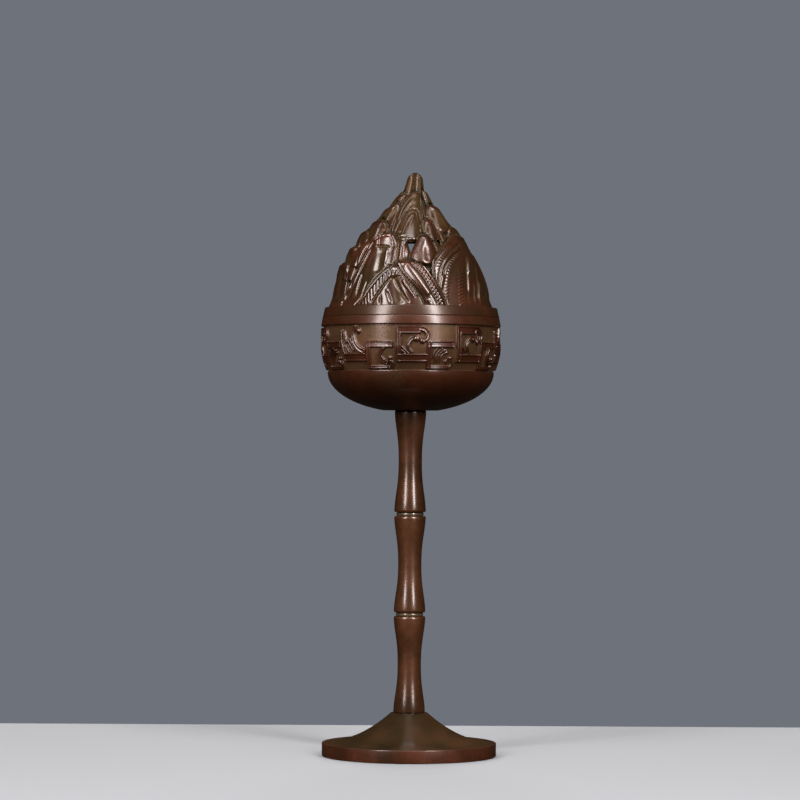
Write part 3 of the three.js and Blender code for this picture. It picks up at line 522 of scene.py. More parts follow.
def peak_relief(peak, turn, azimuth, height):
    """A peak's radius, its carving and how far each point lies inside its outline."""
    tip = peak["tip"][1]
    plain = plain_face(peak, height)
    left, right = (flank(peak, side, height, turn) for side in ("left", "right"))
    left = left - TIP_HALF_WIDTH / plain
    right = right + TIP_HALF_WIDTH / plain
    slope_left, slope_right = (np.gradient((edge * plain)[:, 0], height[:, 0])[:, None]
                               for edge in (left, right))
    from_left = (azimuth - left) * plain / np.hypot(1, np.clip(slope_left, -STEEPEST, STEEPEST))
    from_right = (right - azimuth) * plain / np.hypot(1, np.clip(slope_right, -STEEPEST, STEEPEST))
    place = np.clip((2 * azimuth - left - right) / (right - left), -1.5, 1.5)
    inward = np.minimum.reduce([from_left, from_right, (tip - height + TIP_ALLOWANCE) * np.ones_like(place)])
    drop = peak["crown"] * np.clip(np.abs(place), 0, 1) ** 2 * smoothstep(-1, 3, tip - height)
    low_left, low_right = peak["left"][-1][1], peak["right"][-1][1]
    if low_left > 0:
        lower = low_left + (low_right - low_left) * (place + 1) / 2 - peak.get("belly", 0) * (1 - place ** 2)
        inward = np.minimum(inward, height - lower)
        rounding = peak.get("rounding", EDGE_ROUNDING)
        rise = np.clip((height - lower) / rounding, 0, 1)
        drop = drop + rounding * (1 - np.sqrt(1 - (1 - rise) ** 2))
    cliff = EDGE_DEPTH * smoothstep(0, EDGE_SOFT, -inward)
    cliff = cliff + EDGE_CHAMFER * (1 - smoothstep(0, EDGE_CHAMFER_WIDTH, inward))
    carving = np.zeros_like(place)
    if "rim" in peak:
        across = 2 * (inward - 0.1) / peak["rim"] - 1
        carving = RIM_HEIGHT * np.sqrt(np.clip(1 - across ** 2, 0, 1))
        carving = carving - RIM_HEIGHT * np.exp(-((inward - peak["rim"] - 0.35) / 0.3) ** 2)
    if "folds" in peak:
        folds = np.array(FOLDS[peak["folds"]])
        carving = carving + np.interp(place, folds[:, 0], folds[:, 1]) * smoothstep(1, 7, tip - height)
    for stroke in peak.get("strokes", ()):
        relief = stroke_relief(stroke, turn, azimuth, height, plain)
        blank = np.clip(1 - np.abs(relief) / (0.4 * stroke[2]), 0, 1) if stroke[0] == "rib" else 1
        carving = carving * blank + relief
    return plain - drop - cliff, carving, inward


def mountain_field(columns, height):
    """Radius of the carved lid over the grid, and where it stands on a peak or the spire."""
    step = 2 * np.pi / columns
    radius = valley(height) * np.ones((1, columns))
    carving = np.zeros_like(radius)
    lifted = np.zeros(radius.shape, dtype=bool)
    for peak in PEAKS:
        twin = peak.get("twin", HALF_TURN)
        for turn in (0, twin) if twin else (0,):
            degrees = [place[0] + turn for place in (*peak["left"], *peak["right"], peak["tip"])]
            low = min(peak["left"][-1][1], peak["right"][-1][1]) - 3
            rows = np.nonzero((height[:, 0] > low) & (height[:, 0] < peak["tip"][1] + 1))[0]
            span = np.arange(math.floor(math.radians(min(degrees) - MARGIN) / step),
                             math.ceil(math.radians(max(degrees) + MARGIN) / step))
            window = np.ix_(rows, span % columns)
            face, cut, inward = peak_relief(peak, turn, (span * step)[None, :], height[rows])
            under = radius[window]
            wins = face > under
            trench = TRENCH_DEPTH * np.exp(-((inward + TRENCH_PLACE) / TRENCH_WIDTH) ** 2) * (inward < 0)
            radius[window] = np.where(wins, face, under - trench)
            carving[window] = np.where(wins, cut, carving[window])
            lifted[window] |= wins
    spire = spire_radius(all_round(columns), height)
    wins = spire > radius
    lifted |= wins
    outer = np.where(wins, spire, radius + carving * smoothstep(*CARVING_FADE, radius))
    return blurred(outer, SMOOTHING), lifted


def spire_radius(azimuth, height):
    """The fluted spire: it flares downwards and ends in a dome."""
    drop = MOUNTAIN_HEIGHT - height
    plain = SPIRE_TIP_RADIUS + SPIRE_FLARE * drop
    dome = np.sqrt(np.clip(1 - (np.clip(SPIRE_DOME - drop, 0, None) / SPIRE_DOME) ** 2, 0, 1))
    flute = 1 - FLUTE_DEPTH * np.abs(np.sin(azimuth * SPIRE_FLUTES / 2 + FLUTE_TURN)) ** FLUTE_POWER
    return np.where(height > SPIRE_FOOT, plain * dome * flute, 0)


def wrapped(angle):
    """The angle brought into the half turns to either side of 0."""
    return (angle + np.pi) % (2 * np.pi) - np.pi


def hole_mask(azimuth, height):
    """True where a smoke hole goes through the shell. A hole is wide above and narrow below."""
    mask = np.zeros(np.broadcast(azimuth, height).shape, dtype=bool)
    for hole in HOLES:
        side = wrapped(azimuth - math.radians(hole["azimuth"])) * ogive(height)
        rise = (height - hole["middle"]) / hole["height"]
        reach = hole["width"] / 2 * np.clip(0.6 + 0.8 * rise, 0.1, 1)
        mask |= (np.abs(side) < reach) & (np.abs(rise) < 0.5)
    return mask


def lid_mesh(name, columns, rows):
    """The carved lid: rim, mountains and the hollow below, as one closed mesh with its smoke holes."""
    azimuth = all_round(columns)
    climb = np.linspace(0, 1, rows)[:, None]
    height = MOUNTAIN_HEIGHT * (1 - (1 - climb) ** ROW_POWER)
    height[-1] = MOUNTAIN_HEIGHT - TIP_GAP
    heights = MOUNTAIN_BASE + height
    outer, lifted = mountain_field(columns, height)
    lean = SPIRE_LEAN * smoothstep(*SPIRE_LEAN_SPAN, height / MOUNTAIN_HEIGHT)
    lip = MOUTH_RADIUS - LIP_CLEARANCE
    rim = rounded([(lip - LIP_WALL, LIP_BOTTOM), (lip, LIP_BOTTOM), (lip, SEAM), (LID_RIM_RADIUS, SEAM),
                   (LID_RIM_RADIUS - LID_RIM_TAPER, MOUNTAIN_BASE),
                   (MOUNTAIN_RADIUS - MOUNTAIN_SETBACK, MOUNTAIN_BASE)], RIM_ROUNDING)
    rim_rings = swept(rim, azimuth)
    outer_rings = around(np.maximum(outer, 0.02), azimuth, heights)
    outer_rings[..., 0] += lean
    inside = np.minimum(lip - LIP_WALL, np.maximum(1, valley(height) - LID_WALL))
    kept = height[:, 0] < HOLLOW_SHARE * MOUNTAIN_HEIGHT
    inner_rings = around(inside[kept] * np.ones_like(azimuth), azimuth, heights[kept])
    pierced = hole_mask(azimuth, height) & ~lifted
    ridge = np.full((len(rim) + rows, columns), RIM_TONE)
    # The tone sets patina colour and gloss, and its lowest values also bring painted shade
    ridge[len(rim):] = lid_tone(outer) - HIGH_DULLING * smoothstep(*DULLING_SPAN, height)
    return pierced_shell(name, rim_rings, outer_rings, inner_rings, pierced, ridge)


def blurred(field, reach):
    """The field averaged over a square of cells, twice. It closes on itself sideways."""
    for _ in range(2):
        for axis in (0, 1):
            pad = ((reach, reach), (0, 0)) if axis == 0 else ((0, 0), (reach, reach))
            sums = np.cumsum(np.pad(field, pad, mode="edge" if axis == 0 else "wrap"), axis=axis)
            count = field.shape[axis]
            low, high = (np.take(sums, np.arange(start, start + count), axis=axis)
                         for start in (0, 2 * reach))
            field = (high - low) / (2 * reach)
    return field


def lid_tone(outer):
    """The lid's tone, from how far a point stands above its surroundings."""
    proud = outer - blurred(outer, TONE_REACH)
    return np.clip(PLAIN_TONE + proud / TONE_RANGE, 0, 1)


def pierced_shell(name, rim, outer, inner, pierced, ridge):
    """Joins rim, outer and inner rings into one closed mesh. Where pierced is true, both skins are left open
    and walls join their edges."""
    first, columns = rim.shape[:2]
    rings = np.concatenate([rim, outer, inner])
    rows_out, rows_in = first + len(outer), len(inner)
    tips = np.array([outer[-1].mean(axis=0), inner[-1].mean(axis=0) + [0, 0, 0.8]])
    verts = np.concatenate([rings.reshape(-1, 3), tips])
    column = np.arange(columns)
    after = (column + 1) % columns

    def band(row, next_row):
        return np.stack([row * columns + column, row * columns + after, next_row * columns + after,
                         next_row * columns + column], axis=-1)

    hole = np.zeros((rows_out - 1, columns), dtype=bool)
    both = pierced & np.roll(pierced, -1, axis=1)
    hole[first:] = both[:-1] & both[1:]
    hole[first + rows_in - 1:] = False
    out, within = np.arange(rows_out - 1)[:, None], np.arange(rows_in - 1)[:, None]
    faces = [band(out, out + 1)[~hole],
             band(rows_out + within, rows_out + within + 1)[~hole[first:first + rows_in - 1]][:, ::-1],
             band(0, rows_out)[:, ::-1]]
    to_inside = (rows_out - first) * columns
    for axis, step, (up_a, over_a), (up_b, over_b) in ((1, 1, (1, 0), (0, 0)), (1, -1, (0, 1), (1, 1)),
                                                       (0, 1, (0, 0), (0, 1)), (0, -1, (1, 1), (1, 0))):
        row, place = np.nonzero(hole & ~np.roll(hole, step, axis=axis))
        a = (row + up_a) * columns + (place + over_a) % columns
        b = (row + up_b) * columns + (place + over_b) % columns
        faces.append(np.stack([a, b, b + to_inside, a + to_inside], axis=-1))
    quads = np.concatenate(faces)
    top, roof = (rows_out - 1) * columns, (rows_out + rows_in - 1) * columns
    outer_fan = np.stack([top + column, top + after, np.full(columns, len(verts) - 2)], axis=-1)
    inner_fan = np.stack([roof + after, roof + column, np.full(columns, len(verts) - 1)], axis=-1)
    corners = np.concatenate([quads.reshape(-1), outer_fan.reshape(-1), inner_fan.reshape(-1)])
    sizes = np.concatenate([np.full(len(quads), 4), np.full(2 * columns, 3)])
    tone = np.concatenate([ridge.reshape(-1), np.full(rows_in * columns, INSIDE_TONE), [0.5, INSIDE_TONE]])
    return build(name, verts, corners, sizes, ridge=tone)


# The bowl's band

def bar_field(x, y, left, right, low, high):
    """Distance in from the edge of a straight bar, negative outside it."""
    return np.minimum(np.minimum(x - left, right - x), np.minimum(y - low, high - y))


def arc_field(x, y, centre, radius, start, end, width, end_width):
    """Distance in from the edge of a bar bent round an arc, from start to end in degrees."""
    dx, dy = x - centre[0], y - centre[1]
    turn = (np.degrees(np.arctan2(dy, dx)) - start) % 360
    span = (end - start) % 360
    within = turn <= span
    half = (width + (end_width - width) * np.clip(turn / span, 0, 1)) / 2
    inside = half - np.abs(np.hypot(dx, dy) - radius)
    ends = []
    for angle, end_half in ((start, width / 2), (end, end_width / 2)):
        px = centre[0] + radius * math.cos(math.radians(angle))
        py = centre[1] + radius * math.sin(math.radians(angle))
        ends.append(end_half - np.hypot(x - px, y - py))
    return np.maximum(np.where(within, inside, -9), np.maximum(*ends))


def bar_section(inside, height, groove=0.3):
    """A bar's height from the distance in from its edge: steep side, rounded lip and shallow middle."""
    rise = height * np.sqrt(1 - (1 - np.clip(inside / 0.45, 0, 1)) ** 2)
    return rise - groove * smoothstep(0.4, 0.85, inside)


def round_section(inside, height, half):
    """A round form's height from the distance in from its edge."""
    return height * np.sqrt(1 - (1 - np.clip(inside / half, 0, 1)) ** 2)


def bead(x, y, centre, radius, half, share=1):
    """A round bead, whose height is a share of the relief."""
    return round_section(radius - np.hypot(x - centre[0], y - centre[1]), RELIEF * share, half)


def strand(x, y, start, end, width, share):
    """A straight strand with round ends."""
    (x0, y0), (x1, y1) = start, end
    t = np.clip(((x - x0) * (x1 - x0) + (y - y0) * (y1 - y0)) / math.dist(start, end) ** 2, 0, 1)
    inside = width / 2 - np.hypot(x - x0 - t * (x1 - x0), y - y0 - t * (y1 - y0))
    return round_section(inside, RELIEF * share, width / 2)


# The band's motifs, in millimetres from a motif's middle and up from the band's foot, as the frame has them
UPPER_TURN = math.radians(1.5)
LOWER_TURN = math.radians(-0.5)
MOTIF_WIDTH = 14.4
MOTIF_TOP = 19.4
BLOCK_BOTTOM = 3.8
BLOCK_TOP = 7.3
LOWER_WIDTH = 12.5
LOWER_TOP = 13
LOWER_BOTTOM = 0.8
RELIEF = 1.2
MOTIFS = 9


def upper_motif(x, y):
    """A bar at the left and on top, a hook with a bead, a crescent and leaf inside, and a block below."""
    left, right = -MOTIF_WIDTH / 2, MOTIF_WIDTH / 2
    hook = (right - 3.95, MOTIF_TOP - 3.95)
    bars = np.maximum.reduce([
        bar_field(x, y, left, left + 2.3, BLOCK_BOTTOM, MOTIF_TOP),
        bar_field(x, y, left, hook[0], MOTIF_TOP - 3.5, MOTIF_TOP),
        arc_field(x, y, hook, 2.75, -60, 92, 1.9, 2.5),
    ])
    crescent = arc_field(x, y, (1.4, 10.9), 3.4, 92, 236, 2.1, 1.0)
    return np.maximum.reduce([
        bar_section(bars, RELIEF),
        bar_section(bar_field(x, y, left, right - 1, BLOCK_BOTTOM, BLOCK_TOP), RELIEF, 0.45),
        bar_section(crescent, RELIEF * 0.9, 0.2),
        bead(x, y, (hook[0] + 0.7, hook[1] - 2.7), 1.25, 1.1),
        bead(x, y, (1.6, 13.7), 1.35, 1.2),
        strand(x, y, (-4.7, 10.3), (-2.0, 7.5), 1.0, 0.75),
        strand(x, y, (-4.8, 8.9), (-3.4, 7.4), 0.9, 0.65),
    ])


def lower_motif(x, y, fan):
    """A square hook: a heavy top bar with a double rib, a left bar and a thin foot that turns up to a bead.
    Inside is a fan of strands, or else a crescent."""
    left, right = -LOWER_WIDTH / 2, LOWER_WIDTH / 2
    turn = (right - 2.2, LOWER_BOTTOM + 2.2)
    heavy = bar_field(x, y, left, right, LOWER_TOP - 3, LOWER_TOP)
    foot = np.maximum(bar_field(x, y, left, turn[0], LOWER_BOTTOM, LOWER_BOTTOM + 1.6),
                      arc_field(x, y, turn, 1.45, -90, 65, 1.5, 1.1))
    strands = [arc_field(x, y, (3.4, 4.6), radius, start, end, 1.05, 0.7)
               for radius, start, end in ((3.5, 95, 190), (4.7, 108, 192), (5.9, 120, 190), (7.0, 128, 172))]
    crescent = arc_field(x, y, (3.8, 7.0), 3.5, 85, 255, 1.2, 2.2)
    inner = np.where(fan, round_section(np.maximum.reduce(strands), RELIEF * 0.75, 0.5),
                     bar_section(crescent, RELIEF * 0.9, 0.25))
    return np.maximum.reduce([
        bar_section(heavy, RELIEF, 0.4),
        bar_section(bar_field(x, y, left, left + 2.1, LOWER_BOTTOM, LOWER_TOP), RELIEF, 0.2),
        bar_section(foot, RELIEF * 0.95, 0.2),
        inner,
        bead(x, y, (right - 1.7, LOWER_BOTTOM + 4.6), 1.05, 0.9),
        bead(x, y, (2.6, 3.9), 1.1, 1, np.where(fan, 0.54, 0.9)),
    ])


def crescent_motif(x, y):
    """The upper motif's other form, which faces the other way: a crescent, leaves and upright strands."""
    right = MOTIF_WIDTH / 2
    crescent = arc_field(x, y, (6.8, 15.7), 7.6, 152, 252, 1.5, 2.4)
    strands = [((-8.0, 17.5), (-7.6, 12.5), 1.2), ((-7.6, 12.5), (-6.0, 7.6), 1.2),
               ((-6.0, 17.0), (-4.6, 12.5), 1.1), ((-4.0, 13.6), (-0.6, 8.9), 0.9),
               ((-2.6, 14.0), (0.8, 9.3), 0.9), ((-5.0, 11.2), (-3.0, 8.0), 0.9)]
    return np.maximum.reduce([
        bar_section(crescent, RELIEF, 0.3),
        bar_section(bar_field(x, y, -6.8, right - 1, BLOCK_BOTTOM + 0.3, BLOCK_TOP + 0.3), RELIEF, 0.45),
        bead(x, y, (1.8, 17.2), 1.3, 1.2),
        bead(x, y, (5.9, 9.4), 1.1, 1),
        *(strand(x, y, *each, 0.85) for each in strands),
    ])


def band_ground(z):
    """Radius of the band's ground, which draws in towards its foot."""
    below = np.clip(BAND_BOTTOM + BAND_CURVE_HEIGHT - z, 0, None) / BAND_CURVE_HEIGHT
    return BAND_RADIUS - BAND_DRAW_IN * below ** 1.8


def band_relief(azimuth, z):
    """Height of the meander band above its ground. Upper and lower motifs take turns round the bowl."""
    pitch = 2 * np.pi / MOTIFS
    y = z - BAND_BOTTOM
    shifted = wrapped(azimuth - UPPER_TURN)
    index = np.round(shifted / pitch)
    x = (shifted - index * pitch) * BAND_RADIUS
    upper = np.where(np.mod(index, 3) == 2, crescent_motif(x, y), upper_motif(x, y))
    shifted = wrapped(azimuth - LOWER_TURN)
    index = np.floor(shifted / pitch)
    x = (shifted - (index + 0.5) * pitch) * BAND_RADIUS
    lower = lower_motif(x, y, np.mod(index, 2) == 0)
    return np.clip(np.maximum(upper, lower), 0, RELIEF)


def bowl_mesh(name, columns, rows):
    """The bowl: a round bottom, the meander band, the rim and the hollow, with a bore for the tie rod."""
    azimuth = all_round(columns)
    angle = np.linspace(math.acos((BAND_BOTTOM - BOWL_BASE) / BOTTOM_ARC_HEIGHT), math.pi / 2, 40)
    bottom = [(BOWL_BOTTOM_RADIUS * math.sin(a), BAND_BOTTOM - BOTTOM_ARC_HEIGHT * math.cos(a))
              for a in angle]
    first = [(BORE_RADIUS, BOWL_BASE), (STEM_SEAT_RADIUS, BOWL_BASE), *bottom,
             *((BOWL_BOTTOM_RADIUS + out, BAND_BOTTOM + up) for out, up in BOTTOM_EDGE)]
    heights = np.linspace(BAND_BOTTOM + BAND_START, BAND_TOP, rows)[:, None]
    relief = band_relief(azimuth, heights)
    wall = band_ground(heights) + relief
    start = SEAM - STRAIGHT_WALL
    rim = rounded([(BAND_RADIUS, BAND_TOP), (BOWL_RIM_RADIUS, BAND_TOP + RIM_STEP),
                   (BOWL_RIM_RADIUS - BOWL_RIM_TAPER, SEAM), (MOUTH_RADIUS, SEAM),
                   (MOUTH_RADIUS, SEAM - MOUTH_DEPTH), (BOWL_HOLLOW_RADIUS, start)], RIM_ROUNDING)
    fall = np.linspace(math.pi / 2, math.acos((start - BOWL_FLOOR) / BOWL_HOLLOW_ARC), 24)
    hollow = [(BOWL_HOLLOW_RADIUS * math.sin(a), start - BOWL_HOLLOW_ARC * math.cos(a)) for a in fall]
    last = [*rim[1:], *hollow[1:], (FLOOR_RADIUS, BOWL_FLOOR), (BORE_RADIUS, BOWL_FLOOR),
            (BORE_RADIUS, BOWL_BASE)]
    rings = np.concatenate([swept(first, azimuth), around(wall, azimuth, heights), swept(last, azimuth)])
    ridge = np.full(rings.shape[:2], RIM_TONE)
    ridge[len(first):len(first) + rows] = np.clip(relief / RELIEF, 0, 1.2)
    return skin(name, rings, ridge, cap_start=False, cap_end=False)


# Foot, stem, pan and fasteners

def foot_mesh(name):
    """The trumpet foot, hollow below, with a rubbed edge."""
    outer, inner = FOOT_RADIUS - FOOT_EDGE_ROUNDING, FOOT_RADIUS - FOOT_RING_WIDTH

    def top(radius):
        share = (outer - radius) / (outer - STEM_SEAT_RADIUS)
        return FOOT_EDGE_TOP + (FOOT_TOP - FOOT_EDGE_TOP) * share ** 2

    sweep = [(r, top(r)) for r in np.linspace(outer, STEM_SEAT_RADIUS, 40)]
    hollow = [(r, top(r) - FOOT_WALL) for r in np.linspace(NUT_ROOM_RADIUS + 0.5, inner - 0.5, 16)]
    edge = rounded([(inner, 0), (FOOT_RADIUS, 0), (FOOT_RADIUS, FOOT_EDGE_TOP), *sweep[:2]], SOFT_ROUNDING)
    bore = [(BORE_RADIUS, FOOT_TOP), (BORE_RADIUS, NUT_ROOM_TOP), (NUT_ROOM_RADIUS, NUT_ROOM_TOP)]

    def worn(radius):
        return 0.25 + 0.6 * smoothstep(FOOT_RADIUS - 1, FOOT_RADIUS - 0.2, radius)

    return turned(name, [*edge, *sweep[2:], *bore, *hollow, (inner, 0.4)], 2 * SIDES, closed=True, worn=worn)


def segment_mesh(name, node):
    """A waisted stem segment with bevelled ends."""
    low, high = heights_of(node)
    flare = []
    for t in np.linspace(0, 1, 60):
        away = abs(2 * t - 1) ** WAIST_POWER
        radius = WAIST_RADIUS + (SEGMENT_RADIUS - WAIST_RADIUS) * away * away * (3 - 2 * away)
        flare.append((radius, low + BEVEL_HEIGHT + t * (high - low - 2 * BEVEL_HEIGHT)))
    end = SEGMENT_RADIUS - BEVEL_WIDTH
    profile = [(BORE_RADIUS, low), (end, low), *flare, (end, high), (BORE_RADIUS, high)]
    return turned(name, profile, SIDES, closed=True)


def ring_mesh(name, node):
    """A narrow ring with a slight edge round its middle."""
    low, high = heights_of(node)
    middle = (low + high) / 2
    side = ((0.5, low), (0.1, middle - 0.5), (0, middle), (0.1, middle + 0.5), (0.5, high))
    outside = [(RING_RADIUS - back, z) for back, z in side]
    profile = rounded([(BORE_RADIUS, low), *outside, (BORE_RADIUS, high)], FINE_ROUNDING)
    return turned(name, profile, SIDES, closed=True)


def pan_mesh(name):
    """The ash pan, a round dish on a ring."""
    def side(wall, start, end):
        base, flare = PAN_BASE + wall, PAN_RADIUS - PAN_BASE_RADIUS
        return [(PAN_BASE_RADIUS - wall + flare * math.sin(a), base + (PAN_RIM - base) * (1 - math.cos(a)))
                for a in np.linspace(start, end, 24)]

    ring = rounded([(PAN_CENTRE, PAN_BASE), (PAN_RING_INNER, PAN_BASE), (PAN_RING_INNER, PAN_FLOOR),
                    (PAN_RING_OUTER, PAN_FLOOR), (PAN_RING_OUTER, PAN_BASE)], SOFT_ROUNDING)
    outside, inside = side(0, 0, math.pi / 2), side(PAN_WALL, math.pi / 2, 0)
    return turned(name, [*ring, *outside, *inside, (PAN_CENTRE, PAN_BASE + PAN_WALL)], PAN_SIDES)


def washer_mesh(name, node):
    """A flat washer with rounded edges."""
    low, high = heights_of(node)
    radius = radius_of(node)
    corners = [(BORE_RADIUS, low), (radius, low), (radius, high), (BORE_RADIUS, high)]
    return turned(name, rounded(corners, FINE_ROUNDING), SIDES, closed=True)


def nut_mesh(name, node):
    """A hexagonal nut with chamfered corners."""
    low, high = heights_of(node)
    azimuth = all_round(NUT_SIDES)
    flat = NUT_ACROSS_FLATS / 2 / np.cos(wrapped(azimuth * 6) / 6)
    heights = np.linspace(low, high, 17)[:, None]
    chamfer = NUT_ACROSS_FLATS / 2 + CHAMFER_SLOPE * np.minimum(heights - low, high - heights)
    side = around(np.minimum(flat, chamfer), azimuth, heights)
    bore = around(ROD_RADIUS + NUT_CLEARANCE, azimuth, np.array([[high], [low]]))
    return skin(name, np.concatenate([side, bore, side[:1]]), cap_start=False, cap_end=False)


def rod_mesh(name):
    """The tie rod: plain in the stem, threaded at both ends."""
    low, high = heights_of("tie_rod")
    azimuth = all_round(ROD_SIDES)
    ends = np.arange(0, THREAD_LENGTH, THREAD_PITCH / ROWS_PER_TURN)
    heights = np.concatenate([low + ends, high - ends[::-1]])[:, None]
    depth = THREAD_DEPTH * np.abs(wrapped(azimuth - 2 * np.pi * heights / THREAD_PITCH)) / np.pi
    fade = smoothstep(0, ROD_END_LENGTH, np.minimum(heights - low, high - heights))
    return skin(name, around(ROD_RADIUS - ROD_END_BEVEL * (1 - fade) - depth * fade, azimuth, heights))


# Materials. Scales are in waves to the metre, the skin's depth in metres.
CLOUD_SCALE = 60
CLOUD_DRIFT = 1.2
SPECK_SCALE = 900
SKIN_SCALE = 220
SKIN_DEPTH = 0.0003
PLAIN_COAT = 0.85


def new_group(name, inputs, outputs):
    """An empty node group with its given values and its results. Sockets are (name, kind) or
    (name, kind, default)."""
    tree = bpy.data.node_groups.new(name, "ShaderNodeTree")
    for direction, sockets in (("INPUT", inputs), ("OUTPUT", outputs)):
        for label, kind, *default in sockets:
            made = tree.interface.new_socket(name=label, in_out=direction, socket_type="NodeSocket" + kind)
            if default:
                made.default_value = default[0]
    return tree, add_node(tree, "NodeGroupInput").outputs, add_node(tree, "NodeGroupOutput").inputs


def feed(tree, socket, value):
    """Links a socket to the one given, or sets its value."""
    if isinstance(value, bpy.types.NodeSocket):
        tree.links.new(value, socket)
    else:
        socket.default_value = value


def add_node(tree, kind, **values):
    """A new node with its settings."""
    node = tree.nodes.new(kind)
    for name, value in values.items():
        setattr(node, name, value)
    return node


def noise(tree, scale, detail):
    """The strength of a noise fixed to the piece."""
    node = add_node(tree, "ShaderNodeTexNoise")
    feed(tree, node.inputs["Vector"], add_node(tree, "ShaderNodeTexCoord").outputs["Object"])
    feed(tree, node.inputs["Scale"], scale)
    feed(tree, node.inputs["Detail"], detail)
    return node.outputs["Fac"]


def ranged(tree, value, start, end, to_start=0, to_end=1):
    """A value spread from one range to another."""
    node = add_node(tree, "ShaderNodeMapRange")
    names = ("Value", "From Min", "From Max", "To Min", "To Max")
    for name, given in zip(names, (value, start, end, to_start, to_end)):
        feed(tree, node.inputs[name], given)
    return node.outputs["Result"]


def reckoned(tree, operation, *terms):
    """The result of a sum on values or sockets."""
    node = add_node(tree, "ShaderNodeMath", operation=operation)
    for place, term in zip(node.inputs, terms):
        feed(tree, place, term)
    return node.outputs["Value"]


def mixed(tree, share, first, second):
    """Two colours mixed by a share."""
    node = add_node(tree, "ShaderNodeMix", data_type="RGBA")
    for name, given in (("Factor", share), ("A", first), ("B", second)):
        feed(tree, node.inputs[name], given)
    return node.outputs["Result"]


def patina_group():
    """Cast bronze's patina: a colour that shifts in soft clouds, with its own recess colour in hollows and
    rubbed on ridges. Painted shade darkens the colour where the height is lowest, in the deepest gaps.
    """
    tree, given, result = new_group(
        "Bronze Patina",
        (("Recess", "Color"), ("Body", "Color"), ("Ridge", "Color"), ("Height", "Float", 0.5),
         ("Recess Gloss", "Float"), ("Gap Shade", "Float")),
        (("Color", "Color"), ("Roughness", "Float"), ("Gloss", "Float")))
    height = given["Height"]
    cloud = noise(tree, CLOUD_SCALE, 4)
    drift = reckoned(tree, "MULTIPLY_ADD", cloud, CLOUD_DRIFT, -CLOUD_DRIFT / 2)
    drifting = reckoned(tree, "ADD", height, drift)
    colour = mixed(tree, ranged(tree, drifting, 0.1, 0.5), given["Recess"], given["Body"])
    colour = mixed(tree, ranged(tree, drifting, 0.5, 0.9), colour, given["Ridge"])
    clouds = ranged(tree, cloud, 0.3, 0.7, 0.7, 1.35)
    specks = ranged(tree, noise(tree, SPECK_SCALE, 3), 0.35, 0.65, 0.88, 1.12)
    # Painted shade: where the height falls below 0.2, the colour is scaled down towards the given share, in
    # the deepest gaps
    painted_shade_factor = ranged(tree, height, 0, 0.2, given["Gap Shade"])
    shade = add_node(tree, "ShaderNodeVectorMath", operation="SCALE")
    feed(tree, shade.inputs[0], colour)
    strength = reckoned(tree, "MULTIPLY", reckoned(tree, "MULTIPLY", clouds, specks), painted_shade_factor)
    feed(tree, shade.inputs["Scale"], strength)
    feed(tree, result["Color"], shade.outputs["Vector"])
    feed(tree, result["Roughness"], ranged(tree, cloud, 0.35, 0.65, 0.26, 0.42))
    feed(tree, result["Gloss"], ranged(tree, height, 0.3, 0.65, given["Recess Gloss"]))
    return tree


def cast_skin_group():
    """The fine unevenness of a cast and chased skin, as a normal."""
    tree, given, result = new_group("Cast Skin", [("Strength", "Float")], [("Normal", "Vector")])
    bump = add_node(tree, "ShaderNodeBump")
    feed(tree, bump.inputs["Distance"], SKIN_DEPTH)
    feed(tree, bump.inputs["Strength"], given["Strength"])
    feed(tree, bump.inputs["Height"], noise(tree, SKIN_SCALE, 5))
    feed(tree, result["Normal"], bump.outputs["Normal"])
    return tree


def bronze(name, groups, recess, body, ridge, carved=False, metallic=0.35, skin_strength=0.15, polish=0.16,
           recess_gloss=0.15, painted_gap_shade=1):
    """A patinated bronze. On a carved piece its tone, gloss and painted gap shade follow the mesh's ridge
    values.
    """
    material = bpy.data.materials.new(name)
    material.use_nodes = True
    tree = material.node_tree
    shader = tree.nodes["Principled BSDF"].inputs
    patina = add_node(tree, "ShaderNodeGroup", node_tree=groups["patina"])
    skin_node = add_node(tree, "ShaderNodeGroup", node_tree=groups["skin"])
    skin_node.inputs["Strength"].default_value = skin_strength
    for label, value in (("Recess", (*recess, 1)), ("Body", (*body, 1)), ("Ridge", (*ridge, 1)),
                         ("Recess Gloss", recess_gloss), ("Gap Shade", painted_gap_shade)):
        patina.inputs[label].default_value = value
    coat = PLAIN_COAT
    if carved:
        coat = patina.outputs["Gloss"]
        values = add_node(tree, "ShaderNodeAttribute", attribute_name="ridge")
        feed(tree, patina.inputs["Height"], values.outputs["Fac"])
    for label, value in (("Metallic", metallic), ("Specular IOR Level", 0.2), ("Coat Roughness", polish),
                         ("Coat Weight", coat), ("Base Color", patina.outputs["Color"]),
                         ("Roughness", patina.outputs["Roughness"]),
                         ("Normal", skin_node.outputs["Normal"])):
        feed(tree, shader[label], value)
    return material


